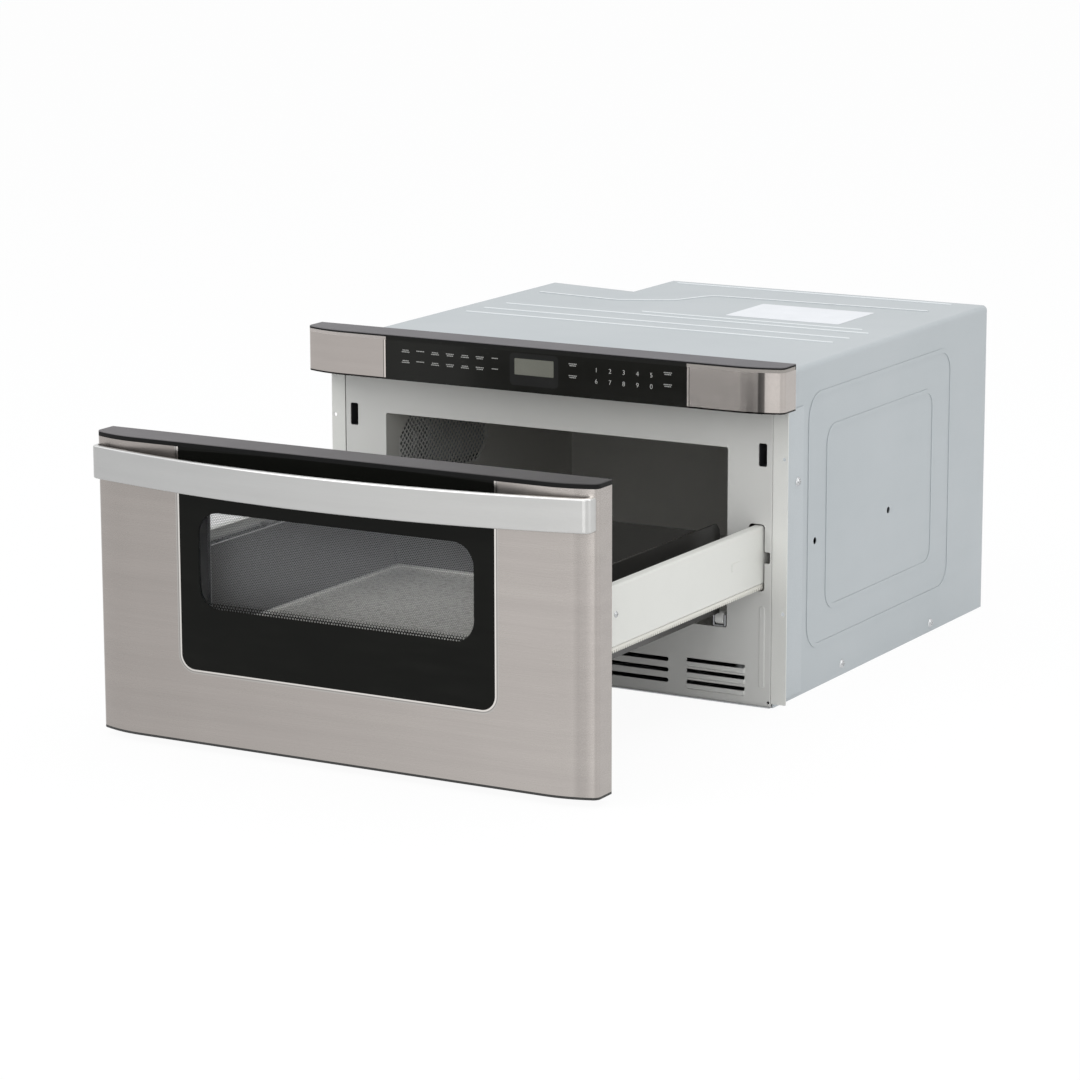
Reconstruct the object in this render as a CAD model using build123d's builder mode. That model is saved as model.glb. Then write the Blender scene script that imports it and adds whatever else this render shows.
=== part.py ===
from build123d import *
import math
import os

os.makedirs("parts", exist_ok=True)

# Built-in microwave drawer, drawn with the drawer pulled fully open.
# X is to the right seen from the front, Y runs into the cabinet, Z is up. All sizes are millimetres.
# The front face of the painted front plate lies at Y = 0, the underside of the base at Z = 0.

# ------------------------------------------------------------------ driving sizes
front_half_width = 303.2       # drawer front and control panel
case_overlap = 26.0            # the front reaches this far past the case on each side
case_height = 371.8
drawer_travel = 413.3
sheet = 1.0                    # case, liner and bracket sheet
plate_thickness = 1.2          # front plate, base and flanges
running_gap = 0.3              # between faces that slide past each other
shaft_clearance = 0.05         # radial, shaft in bore
fit_gap = 0.1                  # between a fitted piece and its opening

# ------------------------------------------------------------------ case
case_half_width = front_half_width - case_overlap
case_inner = case_half_width - sheet
cavity_depth = drawer_travel + 23.7
case_depth = cavity_depth + 135.1
case_bend = 6.0
rear_inset = 2.0               # rear panel sits this far inside the case edge
rear_face = case_depth - rear_inset
rear_inner = rear_face - sheet
recess_width = 128.2           # recess at the rear left, for the wall outlet
recess_x = recess_width - case_half_width
recess_depth_inner = case_depth - 105.1
recess_depth_outer = case_depth - 84.1
recess_slope = (recess_depth_inner - recess_depth_outer) / recess_width
step_face = recess_x + rear_inset
bead_width = 5.0
bead_height = 0.8
top_beads = [                  # straight beads on the top: left inset, right inset, Y
    (27.2, 41.2, 231.0),
    (31.2, 37.2, 266.0),
    (37.2, 33.2, 309.0),
    (212.2, 51.2, 330.0),
    (141.2, 39.2, case_depth - 15.1),
]
rear_bead = [                  # bead that follows the recess
    (28.2 - case_half_width, recess_depth_inner - 58.0),
    (recess_x + 14.0, recess_depth_inner - 70.0),
    (recess_x + 77.0, recess_depth_inner - 40.0),
    (recess_x + 101.0, recess_depth_inner + 16.0),
    (case_half_width - 43.2, recess_depth_inner + 28.0),
]
rear_bead_bend = 24.0
side_frames = [                # pressed outlines on each side wall: Y, Z and corner radius
    ((130.0, recess_depth_inner - 47.0), (84.0, case_height - 75.8), 22.0),
    ((83.0, recess_depth_inner + 3.0), (46.0, case_height - 33.8), 30.0),
]
rail_access_y = (102.7, 297.3)
rail_access_z = 169.8
rail_access_radius = 4.0

# ------------------------------------------------------------------ base
base_lip = 3.0                 # the base reaches this far in front of the plate
base_flange = 14.0
base_flange_inset = 24.0
stiffener_y = (96.0, 196.0, 296.0, 396.0)
stiffener_size = (2 * case_half_width - 194.4, 14.0)
stiffener_height = 2.4

# ------------------------------------------------------------------ cavity
rail_bay = 57.2                # from the case to the cavity on each side
cavity_half_width = case_half_width - rail_bay
cavity_bottom = 84.7
cavity_top = case_height - 84.2
cavity_corner = 2.5
liner_outer = cavity_half_width + sheet
liner_top = cavity_top + sheet
liner_bottom = cavity_bottom - sheet
liner_back = cavity_depth + sheet
liner_flange = 16.0
# ------------------------------------------------------------------ telescopic rails and side panels
rail_height = 45.6
rail_wall = 1.2
rail_gap = 1.0                 # between the webs of two members
rail_length = drawer_travel + 16.7
rail_start = 4.0               # front end of the outer member
rail_end = rail_start + rail_length
rail_centre_z = 171.4
rail_holes = 6                 # fixing holes along the outer and inner members
rail_hole_pitch = 64.0
rail_hole_radius = 2.2
rail_slots = 4                 # lightening slots along the middle members
rail_slot_pitch = 96.0
rail_slot = (56.0, 12.0)
panel_sheet = 1.2
panel_outer = case_half_width - 13.2
panel_inner = panel_outer - 10.3
panel_face = panel_outer - panel_sheet
panel_top = 204.0
panel_bottom = 139.0
panel_rear = 26.0              # rear end of the side panel with the drawer open
panel_tab = (panel_outer - 24.0, panel_outer - 0.5)
rail_web = panel_inner - 3.6   # outer member's back
rail_lip = panel_outer - 3.6
middle_height = rail_height - 2 * (rail_wall + running_gap)
inner_height = middle_height - 2 * (rail_wall + running_gap)
middle_web = rail_web + rail_wall + rail_gap
inner_lip = middle_web + rail_wall + rail_gap
hat_half = 9.0                 # half height of the bracket behind each rail
hat_foot = 9.0
fold_bend = 2.4
screen_lap = 6.0
screen_gap = 0.6               # from the brackets up to the perforated sheet
screen_y = (28.0, 232.0)       # perforated patch in the left wall, over the rail
screen_z = (rail_centre_z + hat_half + hat_foot + screen_gap + screen_lap, cavity_top - 8.6)
screen_height = screen_z[1] - screen_z[0]
screen_corner = screen_height / 3.2
screen_rows = (11, 12, 13, 12, 11)
screen_pitch = (15.0, screen_height / 6.4)
screen_hole_radius = 4.0

# ------------------------------------------------------------------ front plate
plate_inset = 2.5              # inside the case edge
plate_half_width = case_half_width - plate_inset
plate_return = 16.0
plate_gap = 0.5                # between the plate and the mounting flanges
rail_slot_x = (panel_outer - 17.7, panel_outer + 1.8)
rail_slot_z = (130.5, 205.6)
rail_notch_x = panel_outer + 8.5
rail_notch_z = (162.3, 175.1)
latch_x = case_half_width - 14.6
latch_z = cavity_top - 4.8
latch_slot = (25.8, 10.2)
louvre_x = (case_half_width - 107.6, case_half_width - 33.7)
louvre_rows = (42.3, 29.8, 17.0)
louvre_drop = 6.0
louvre_reach = 2.4
vent_slot = (110.0, 5.0)
vent_slot_end = louvre_x[0] - 22.0
vent_rows = (40.5, 28.5, 16.5)
rib_x = (case_half_width - 17.2, case_half_width - 10.2)
rib_z = (21.0, 114.0)
rib_height = 1.0
corner_hole = (plate_half_width - 3.0, 5.6)
corner_hole_radius = 1.6

# ------------------------------------------------------------------ mounting flanges
flange_outer = case_half_width + 15.9
flange_bottom = 4.8
flange_top = case_height - 37.8
flange_leg_depth = 69.0
flange_leg_top = flange_top - 6.0
flange_hole_x = flange_outer - 4.6
flange_hole_z = (107.6, 280.0)
flange_hole_radius = 2.2

# ------------------------------------------------------------------ microwave feed above the cavity
stirrer_y = 215.0
stirrer_cover_half = 95.0
stirrer_cover_height = 14.0
stirrer_cover_wall = 2.0
stirrer_blade = (66.0, 26.0, 1.2)
stirrer_blade_centre = 34.0
stirrer_hub = (9.0, 6.0)
stirrer_shaft_radius = 3.0
stirrer_motor_radius = 24.0
stirrer_motor_height = 17.0
stirrer_ear = (34.0, 7.0, 1.5)
feed_radius = 36.0
guide_half_width = 46.0
guide_height = 45.0
guide_y = (158.0, liner_back + 8.0)
guide_foot = 12.0
guide_top = liner_top + guide_height
magnetron_z = cavity_top + 23.4
magnetron_half = 47.0
magnetron_depth = 52.0
magnetron_wall = 2.0
magnetron_core_radius = 20.0
magnetron_fins = 5
fin_pitch = 7.0
fin_sheet = 0.8
filter_box = (34.0, 28.0, 30.0)  # half width, half height and depth
antenna_radius = 9.0
antenna_length = 20.0

# ------------------------------------------------------------------ rear compartment
fan_x = case_half_width - 127.2
fan_z = 205.0
fan_ring_radius = 53.5
fan_ring_wall = 1.5
fan_ring_depth = 21.0
fan_frame_half = 62.0
fan_plate = 2.0
fan_window_radius = 19.0
fan_window_place = 40.0
fan_blade_radius = 51.5
fan_blades = 7
fan_blade_sheet = (22.0, 1.4)
fan_blade_pitch = 55.0
fan_hub_radius = 14.0
fan_hub_half = 8.0
fan_shaft_radius = 2.5
fan_motor_depth = 36.0
fan_core = (29.0, 20.0)        # half width and half height of the motor's core
fan_rotor_radius = 20.0
fan_coil = (17.0, 34.0, 16.0)  # half width, lower and upper edge below the shaft
grille_pitch = 14.0
grille_slot = 6.0
transformer_x = (case_half_width - 169.2, case_half_width - 69.2)
transformer_y = (liner_back + 14.0, liner_back + 78.0)
transformer_height = 84.0
transformer_foot = (12.0, 2.0)
core_half = 18.0
coil_inset = (16.0, 2.0)
coil_height = 26.0
coil_z = (26.0, 62.0)
coil_corner = 11.0
capacitor_size = (52.0, 32.0, 92.0)
capacitor_place = (transformer_x[0] - 53.0, liner_back + 62.0)
clamp_band = (1.2, 9.0)
clamp_z = (30.0, 66.0)
terminal_x = 11.0
terminal_base = (4.0, 5.0)
terminal_tab = (0.5, 3.0, 15.0)
gland_x = recess_x + 59.0
gland_z = 60.0
gland_radius = 8.9
gland_rim = 12.0
gland_nut = (12.5, 5.0)
gland_bore = 4.6
rear_slots = (8, 2)            # ventilation slots beside the recess
rear_slot_pitch = (15.0, 40.0)
rear_slot_size = (30.0, 5.0)
rear_slot_place = (recess_x + 109.0, case_height - 71.8)
lamp_y = (62.0, 98.0)
lamp_z = (screen_z[0] + 16.0, screen_z[0] + 66.0)
lamp_box_depth = 26.0
lamp_socket_radius = 7.0
lamp_socket_height = 21.0
lamp_bulb_radius = 9.0
lamp_bulb_top = 43.0
board_x = (liner_outer - 145.0, liner_outer + 5.0)
board_y = (66.0, 226.0)
board_rise = 8.0
board_thickness = 1.6
board_post_inset = 6.0
board_post_radius = 3.0
board_blocks = [               # relays, choke, heat sink and connector: size, then place on the board
    (16.0, 28.0, 15.0, 20.0, 28.0),
    (16.0, 28.0, 15.0, 46.0, 28.0),
    (16.0, 28.0, 15.0, 72.0, 28.0),
    (34.0, 38.0, 28.0, 121.0, 31.0),
    (54.0, 10.0, 24.0, 111.0, 79.0),
    (120.0, 10.0, 10.0, 74.0, 135.0),
]
board_cans = (28.0, 52.0)
board_can = (8.0, 22.0)

# ------------------------------------------------------------------ drawer front and control panel
front_depth = 41.0             # thickness of both panels at their middle
front_sweep = 55.2             # width of the swept back part at each end
front_flat = front_half_width - front_sweep
front_end_radius = 130.0
front_corner = 8.0
door_rest_gap = 4.0            # back plane to front plate with the drawer closed
door_back = -door_rest_gap - drawer_travel
door_front = door_back - front_depth
skin_inner = door_front + sheet
control_back = -3.5
control_front = control_back - front_depth
control_bottom = case_height - 35.9
control_top = control_bottom + 51.5
door_gap = 3.8                 # between the drawer front and the control panel
door_bottom = 8.0
door_top = control_bottom - door_gap
cap_height = 5.5
foot_cap_height = 2.6
cap_fillet = 0.8
cap_wall = 3.0
glass_half_width = front_half_width - 112.0
glass_bottom = 88.6
glass_corner = 16.0
glass_thickness = 4.0
glass_clearance = 0.2
trim_width = 4.4
bezel_lap = 9.0
bezel_back = 2.0
bezel_face = door_front + glass_thickness
bezel_rear = bezel_face + bezel_back
window_half_width = glass_half_width - 24.2
window_z = (door_top - 176.1, door_top - 72.1)
window_corner = 25.0
tunnel_wall = 1.5
screen_sheet = 0.8
door_screen_holes = (19, 6)
door_screen_pitch = 16.0
door_screen_hole = 5.0
inner_glass_thickness = 3.0
inner_glass_lap = 18.0
pane_corner = 6.0
pane_rear = door_back - sheet
pane_front = pane_rear - inner_glass_thickness
tunnel_end = pane_front - screen_sheet
frame_wall_depth = 15.0
drain_x = (-180.0, -60.0, 60.0, 180.0)
drain_size = (20.0, 6.0)
drain_inset = 17.0

# ------------------------------------------------------------------ handle
handle_inset = 2.2             # inside the end of the drawer front
handle_half_width = front_half_width - handle_inset
handle_z = (door_top - 48.9, door_top - 13.4)
handle_end_gap = 2.7           # in front of the drawer front at the ends
handle_reach = 41.7            # in front of the drawer front at the middle
handle_middle_y = door_front - handle_reach
handle_bow = handle_reach - handle_end_gap
handle_radius = (handle_half_width ** 2 + handle_bow ** 2) / (2 * handle_bow)
handle_centre_y = handle_middle_y + handle_radius
handle_thickness = 5.0
handle_corner = 9.0
handle_round = 2.0
handle_back = door_front + 16.0
handle_stop_x = (handle_half_width - 37.0, handle_half_width - 11.0)
handle_stop_inset = 4.5

# ------------------------------------------------------------------ basket and tray
basket_half_width = cavity_half_width - 8.0
basket_wall = 3.0
basket_bottom = 101.5
basket_top = 203.0
basket_rear = 5.0
basket_corner = 9.0
basket_cut_y = 15.0            # sloped rear end of the side walls
basket_cut_z = 16.0
tray_gap = 1.0
tray_thickness = 5.0
tray_rim = 7.5
tray_rim_width = 7.0
tray_corner = (8.0, 12.0)
choke_outer = basket_half_width + 27.0
choke_inner = basket_half_width + 2.0
choke_z = (66.0, cavity_top + 18.4)
choke_inner_z = (94.0, cavity_top - 7.6)
choke_thickness = 2.0

# ------------------------------------------------------------------ rollers, drive and latches
roller_radius = 7.4
roller_x = (basket_half_width - 7.5, basket_half_width + 2.5)
roller_y = 7.9
roller_z = basket_bottom - running_gap - roller_radius
roller_round = 0.8
axle_radius = 2.5
rack_x = (panel_outer - 10.0, panel_outer - 1.0)
gear_module = 1.5
pinion_teeth = 16
pressure_angle = 20.0
gear_backlash = 0.24
rack_addendum = 0.8            # in modules
dedendum = 1.25                # in modules
rack_body = 2.9
rack_inset = 6.0
pinion_y = 20.0
pinion_radius = gear_module * pinion_teeth / 2
pitch_line = panel_bottom - rack_body - dedendum * gear_module
pinion_z = pitch_line - pinion_radius
pinion_shaft_radius = 3.0
pinion_collar_radius = 7.0
pinion_seat = 14.0             # depth of the shaft in the gearbox
gear_base_radius = pinion_radius * math.cos(math.radians(pressure_angle))
gear_pitch = math.pi * gear_module
tooth_half = (gear_pitch - gear_backlash) / 4
gearbox_x = (liner_outer, rack_x[0] - 9.0)
gearbox_y = (8.0, 58.0)
gearbox_z = (liner_bottom, 141.0)
drive_motor_radius = 17.0
drive_motor_length = 50.0
drive_motor_boss = (8.0, 4.0)
drive_motor_y = 32.0
hook_width = 6.0
hook_z = (latch_z - 9.8, latch_z + 8.2)
hook_length = 28.0
hook_nose = 9.0
hook_neck = 6.0
button_radius = 2.0
button_travel = 2.0
button_length = 12.0
button_front = hook_length - door_rest_gap + running_gap
housing_half_width = 10.0
housing_z = (latch_z - 18.8, latch_z + 19.2)
housing_depth = 42.0
pocket_depth = 30.0
pocket_rear = plate_thickness + pocket_depth

# ------------------------------------------------------------------ control panel
control_glass_half = glass_half_width + 0.3
control_glass_thickness = 3.0
control_wall = 2.0
face_top = control_top - cap_height - 0.9
ledge_y = control_front + control_glass_thickness
display_x = (-24.0, 26.0)
display_z = (control_bottom + 19.1, control_bottom + 37.6)
display_depth = 8.0
display_rear = control_front + display_depth
bracket_half_width = front_half_width - 13.2
bracket_bottom = control_bottom + 7.1
key_board_half = control_glass_half - 19.5
key_board_posts = (8.0 - key_board_half, -70.0, 70.0, key_board_half - 8.0)
key_board_chips = (-110.0, -20.0, 90.0)


# ------------------------------------------------------------------ small tools
def wall_y(x, z, y, radius=0.0, mode=Mode.ADD):
    # flat wall square to Y, its outline rounded in X and Z
    with BuildSketch(Plane.XZ.offset(-y[0])) as outline:
        with Locations(((x[0] + x[1]) / 2, (z[0] + z[1]) / 2)):
            if radius > 0:
                RectangleRounded(x[1] - x[0], z[1] - z[0], radius)
            else:
                Rectangle(x[1] - x[0], z[1] - z[0])
    extrude(outline.sketch, amount=-(y[1] - y[0]), mode=mode)


def wall_x(y, z, x, radius=0.0, mode=Mode.ADD):
    # flat wall square to X, its outline rounded in Y and Z
    with BuildSketch(Plane.YZ.offset(x[0])) as outline:
        with Locations(((y[0] + y[1]) / 2, (z[0] + z[1]) / 2)):
            if radius > 0:
                RectangleRounded(y[1] - y[0], z[1] - z[0], radius)
            else:
                Rectangle(y[1] - y[0], z[1] - z[0])
    extrude(outline.sketch, amount=x[1] - x[0], mode=mode)


def wall_z(x, y, z, radius=0.0, mode=Mode.ADD):
    # flat wall square to Z, its outline rounded in X and Y
    with BuildSketch(Plane.XY.offset(z[0])) as outline:
        with Locations(((x[0] + x[1]) / 2, (y[0] + y[1]) / 2)):
            if radius > 0:
                RectangleRounded(x[1] - x[0], y[1] - y[0], radius)
            else:
                Rectangle(x[1] - x[0], y[1] - y[0])
    extrude(outline.sketch, amount=z[1] - z[0], mode=mode)


def rod_x(radius, x, y, z, mode=Mode.ADD):
    # round bar along X
    with BuildSketch(Plane.YZ.offset(x[0])) as outline:
        with Locations((y, z)):
            Circle(radius)
    extrude(outline.sketch, amount=x[1] - x[0], mode=mode)


def rod_y(radius, y, x, z, mode=Mode.ADD):
    # round bar along Y
    with BuildSketch(Plane.XZ.offset(-y[0])) as outline:
        with Locations((x, z)):
            Circle(radius)
    extrude(outline.sketch, amount=-(y[1] - y[0]), mode=mode)


def rod_z(radius, z, x, y, mode=Mode.ADD):
    # round bar along Z
    with BuildSketch(Plane.XY.offset(z[0])) as outline:
        with Locations((x, y)):
            Circle(radius)
    extrude(outline.sketch, amount=z[1] - z[0], mode=mode)


def folded_y(points, bend, thickness, side, y):
    # sheet folded along the points in X and Z, running along Y
    with BuildSketch(Plane.XZ.offset(-y[0])) as section:
        with BuildLine():
            FilletPolyline(*points, radius=bend)
            offset(amount=thickness, side=side)
        make_face()
    extrude(section.sketch, amount=-(y[1] - y[0]))


def folded_z(points, bend, thickness, side, z):
    # sheet folded along the points in X and Y, standing along Z
    with BuildSketch(Plane.XY.offset(z[0])) as section:
        with BuildLine():
            FilletPolyline(*points, radius=bend)
            offset(amount=thickness, side=side)
        make_face()
    extrude(section.sketch, amount=z[1] - z[0])


def folded_x(points, bend, thickness, side, x):
    # sheet folded along the points in Y and Z, running along X
    with BuildSketch(Plane.YZ.offset(x[0])) as section:
        with BuildLine():
            FilletPolyline(*points, radius=bend)
            offset(amount=thickness, side=side)
        make_face()
    extrude(section.sketch, amount=x[1] - x[0])


def recess_y(x):
    # depth of the case behind its left part, where the rear edge slants
    return recess_depth_outer + (x + case_half_width) * recess_slope


def trim_top_corners(y):
    # rounds the two upper corners to lie inside the bends of the case
    bend = case_bend - sheet
    for end in (-1, 1):
        with BuildSketch(Plane.XZ.offset(-y[0])) as corner:
            with Locations((end * (case_inner - bend / 2 + 1.0), case_height - sheet - bend / 2 + 1.0)):
                Rectangle(bend + 2.0, bend + 2.0)
            with Locations((end * (case_inner - bend), case_height - sheet - bend)):
                Circle(bend, mode=Mode.SUBTRACT)
        extrude(corner.sketch, amount=-(y[1] - y[0]), mode=Mode.SUBTRACT)


def cut_patch(y, z, x, corner, mode=Mode.SUBTRACT):
    # eight-sided patch in a wall square to X
    with BuildSketch(Plane.YZ.offset(x[0])) as patch:
        with Locations(((y[0] + y[1]) / 2, (z[0] + z[1]) / 2)):
            Rectangle(y[1] - y[0], z[1] - z[0])
        chamfer(patch.vertices(), length=corner)
    extrude(patch.sketch, amount=x[1] - x[0], mode=mode)


def front_profile(z, height, back, inset=0.0, reach=0.0, mode=Mode.ADD):
    # plan of the drawer front and control panel: flat face, ends swept back, small rounded corners
    half = front_half_width - inset
    radius = front_end_radius - inset
    centre_y = back - front_depth + front_end_radius
    sweep = math.asin((half - front_flat) / radius)
    end_y = centre_y - radius * math.cos(sweep)
    mid = (front_flat + radius * math.sin(sweep / 2), centre_y - radius * math.cos(sweep / 2))
    rear = back + reach
    with BuildSketch(Plane.XY.offset(z)) as plan:
        with BuildLine():
            Polyline((half, end_y), (half, rear), (-half, rear), (-half, end_y))
            ThreePointArc((-half, end_y), (-mid[0], mid[1]), (-front_flat, centre_y - radius))
            Line((-front_flat, centre_y - radius), (front_flat, centre_y - radius))
            ThreePointArc((front_flat, centre_y - radius), mid, (half, end_y))
        make_face()
        corners = [v for v in plan.vertices() if abs(abs(v.X) - half) < 0.01 and v.Y < rear - 0.5]
        fillet(corners, radius=front_corner - inset)
    extrude(plan.sketch, amount=height, mode=mode)


def lower_rounded(half, z, y, corner, mode=Mode.ADD):
    # plate square to Y with its two lower corners rounded
    with BuildSketch(Plane.XZ.offset(-y[0])) as shape:
        with Locations((0, (z[0] + z[1]) / 2)):
            Rectangle(2 * half, z[1] - z[0])
        fillet(shape.vertices().group_by(Axis.Y)[0], radius=corner)
    extrude(shape.sketch, amount=-(y[1] - y[0]), mode=mode)


def handle_plan(inset, rear, mode=Mode.ADD):
    # plan of the bowed handle, its ends turned back towards the drawer front
    half = handle_half_width - inset
    radius = handle_radius - inset
    corner = handle_corner - inset
    end_y = handle_centre_y - math.sqrt(radius ** 2 - half ** 2)
    with BuildSketch(Plane.XY.offset(handle_z[0])) as plan:
        with BuildLine():
            ThreePointArc((-half, end_y), (0, handle_centre_y - radius), (half, end_y))
            Polyline((half, end_y), (half, rear), (-half, rear), (-half, end_y))
        make_face()
        fillet([v for v in plan.vertices() if v.Y < rear - 0.5], radius=corner)
    extrude(plan.sketch, amount=handle_z[1] - handle_z[0], mode=mode)


def involute(radius):
    # involute angle of the pinion flank at a radius
    if radius <= gear_base_radius:
        return 0.0
    slope = math.acos(gear_base_radius / radius)
    return math.tan(slope) - slope


# ------------------------------------------------------------------ outer case
with BuildPart() as outer_case:
    with BuildSketch(Plane.XY):
        with BuildLine():
            Polyline(
                (case_half_width, plate_thickness),
                (case_half_width, case_depth),
                (recess_x, case_depth),
                (recess_x, recess_depth_inner),
                (-case_half_width, recess_depth_outer),
                (-case_half_width, plate_thickness),
                close=True,
            )
        make_face()
    extrude(amount=case_height)
    top_edges = outer_case.edges().filter_by(Axis.Y).group_by(Axis.Z)[-1]
    fillet([e for e in top_edges if abs(abs(e.center().X) - case_half_width) < 0.01], radius=case_bend)
    wall_y((-case_inner, case_inner), (-case_bend, case_height - sheet), (0.0, case_depth + sheet),
           case_bend - sheet, Mode.SUBTRACT)
    for left_inset, right_inset, bead_y in top_beads:
        with BuildSketch(Plane.XY.offset(case_height)):
            with Locations(((left_inset - right_inset) / 2, bead_y)):
                SlotOverall(2 * case_half_width - left_inset - right_inset, bead_width)
        extrude(amount=bead_height, taper=45)
    with BuildSketch(Plane.XY.offset(case_height)):
        with BuildLine() as bead_path:
            FilletPolyline(*rear_bead, radius=rear_bead_bend)
        trace(bead_path.wire(), line_width=bead_width)
    extrude(amount=bead_height)
    for side in (-1, 1):
        wall_face = Plane(origin=(side * case_half_width, 0, 0), x_dir=(0, side, 0), z_dir=(side, 0, 0))
        for frame_y, frame_z, frame_corner in side_frames:
            with BuildSketch(wall_face):
                with Locations((side * (frame_y[0] + frame_y[1]) / 2, (frame_z[0] + frame_z[1]) / 2)):
                    RectangleRounded(frame_y[1] - frame_y[0], frame_z[1] - frame_z[0], frame_corner)
                    RectangleRounded(frame_y[1] - frame_y[0] - 2 * bead_width, frame_z[1] - frame_z[0]
                                     - 2 * bead_width, frame_corner - bead_width, mode=Mode.SUBTRACT)
            extrude(amount=bead_height)
        for access_y in rail_access_y:
            hole_x = sorted((side * (case_half_width + sheet), side * (case_half_width - 2 * sheet)))
            rod_x(rail_access_radius, hole_x, access_y, rail_access_z, Mode.SUBTRACT)
outer_case.part.label = "outer_case"
export_step(outer_case.part, "parts/outer_case.step")

# ------------------------------------------------------------------ base plate
with BuildPart() as base_plate:
    with BuildSketch(Plane.XY):
        with BuildLine():
            Polyline(
                (case_inner, plate_thickness),
                (case_inner, rear_face),
                (step_face, rear_face),
                (step_face, recess_y(step_face) - rear_inset),
                (-case_inner, recess_y(-case_inner) - rear_inset),
                (-case_inner, plate_thickness),
                (-plate_half_width, plate_thickness),
                (-plate_half_width, -base_lip),
                (plate_half_width, -base_lip),
                (plate_half_width, plate_thickness),
                close=True,
            )
        make_face()
    extrude(amount=plate_thickness)
    for side in (-1, 1):
        flange_x = sorted((side * case_inner, side * (case_inner - sheet)))
        wall_z(flange_x, (base_flange_inset, recess_depth_inner - base_flange_inset), (0.0, base_flange))
    for pressed_y in stiffener_y:
        with BuildSketch(Plane.XY.offset(plate_thickness)):
            with Locations((0, pressed_y)):
                SlotOverall(*stiffener_size)
        extrude(amount=stiffener_height, taper=40)
base_plate.part.label = "base_plate"
export_step(base_plate.part, "parts/base_plate.step")

# ------------------------------------------------------------------ rear panel
with BuildPart() as rear_panel:
    folded_z(
        [
            (case_inner, rear_face - base_flange),
            (case_inner, rear_face),
            (step_face, rear_face),
            (step_face, recess_y(step_face) - rear_inset),
            (-case_inner, recess_y(-case_inner) - rear_inset),
            (-case_inner, recess_y(-case_inner) - rear_inset - base_flange),
        ],
        fold_bend, sheet, Side.LEFT, (plate_thickness, case_height - sheet),
    )
    with BuildSketch(Plane.XZ.offset(-rear_inner + 1.0)):
        for row in range(-3, 4):
            row_rise = row * grille_pitch
            with Locations((fan_x, fan_z + row_rise)):
                SlotOverall(2 * math.sqrt((fan_ring_radius - 3.0) ** 2 - row_rise ** 2), grille_slot)
        with Locations((gland_x, gland_z)):
            Circle(gland_radius + fit_gap)
        with GridLocations(*rear_slot_pitch, *rear_slots):
            with Locations(rear_slot_place):
                SlotOverall(*rear_slot_size, rotation=90)
    extrude(amount=-3.0, mode=Mode.SUBTRACT)
    trim_top_corners((recess_depth_inner - 40.0, case_depth))
rear_panel.part.label = "rear_panel"
export_step(rear_panel.part, "parts/rear_panel.step")

# ------------------------------------------------------------------ front plate
with BuildPart() as front_plate:
    folded_z(
        [
            (plate_half_width, plate_return),
            (plate_half_width, 0),
            (-plate_half_width, 0),
            (-plate_half_width, plate_return),
        ],
        1.8, plate_thickness, Side.RIGHT, (plate_thickness, case_height - sheet),
    )
    wall_z((-plate_half_width + 6.0, plate_half_width - 6.0), (0.6, plate_return),
           (case_height - sheet - plate_thickness, case_height - sheet))
    wall_y((-cavity_half_width, cavity_half_width), (cavity_bottom, cavity_top),
           (-1.0, plate_thickness + 1.0), cavity_corner, Mode.SUBTRACT)
    for side in (-1, 1):
        slot_x = sorted((side * rail_slot_x[0], side * rail_slot_x[1]))
        notch_x = sorted((side * (rail_slot_x[1] - 4.0), side * rail_notch_x))
        hook_x = (side * latch_x - latch_slot[1] / 2, side * latch_x + latch_slot[1] / 2)
        hook_slot_z = (latch_z - latch_slot[0] / 2, latch_z + latch_slot[0] / 2)
        cut_y = (-1.0, plate_thickness + 1.0)
        wall_y(slot_x, rail_slot_z, cut_y, 4.0, Mode.SUBTRACT)
        wall_y(notch_x, rail_notch_z, cut_y, 2.0, Mode.SUBTRACT)
        wall_y(hook_x, hook_slot_z, cut_y, 2.0, Mode.SUBTRACT)
        rod_y(corner_hole_radius, cut_y, side * corner_hole[0], corner_hole[1], Mode.SUBTRACT)
        for slot_z in vent_rows:
            middle_x = side * (vent_slot_end - vent_slot[0] / 2)
            wall_y((middle_x - vent_slot[0] / 2, middle_x + vent_slot[0] / 2),
                   (slot_z - vent_slot[1] / 2, slot_z + vent_slot[1] / 2), cut_y,
                   vent_slot[1] / 2 - 0.01, Mode.SUBTRACT)
        with BuildSketch(Plane.XZ):
            with Locations((side * (rib_x[0] + rib_x[1]) / 2, (rib_z[0] + rib_z[1]) / 2)):
                SlotOverall(rib_z[1] - rib_z[0], rib_x[1] - rib_x[0], rotation=90)
        extrude(amount=rib_height, taper=40)
        for louvre_z in louvre_rows:
            blade_middle = side * (louvre_x[0] + louvre_x[1]) / 2
            blade_width = louvre_x[1] - louvre_x[0]
            with BuildSketch(Plane.XZ):
                with Locations((blade_middle, louvre_z - louvre_drop / 2)):
                    RectangleRounded(blade_width, louvre_drop + 3.0, 3.0)
            extrude(amount=louvre_reach, taper=35)
            with BuildSketch(Plane.XZ.offset(-plate_thickness)):
                with Locations((blade_middle, louvre_z - louvre_drop / 2)):
                    RectangleRounded(blade_width - 1.6, louvre_drop + 1.4, 2.4)
            extrude(amount=plate_thickness + louvre_reach - 0.8, taper=22, mode=Mode.SUBTRACT)
            wall_y((blade_middle - blade_width / 2 + 0.8, blade_middle + blade_width / 2 - 0.8),
                   (louvre_z - 1.0, louvre_z + 3.0), (-louvre_reach - 1.0, plate_thickness + 1.0),
                   0.0, Mode.SUBTRACT)
    trim_top_corners((plate_thickness, plate_return + 1.0))
front_plate.part.label = "front_plate"
export_step(front_plate.part, "parts/front_plate.step")

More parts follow.
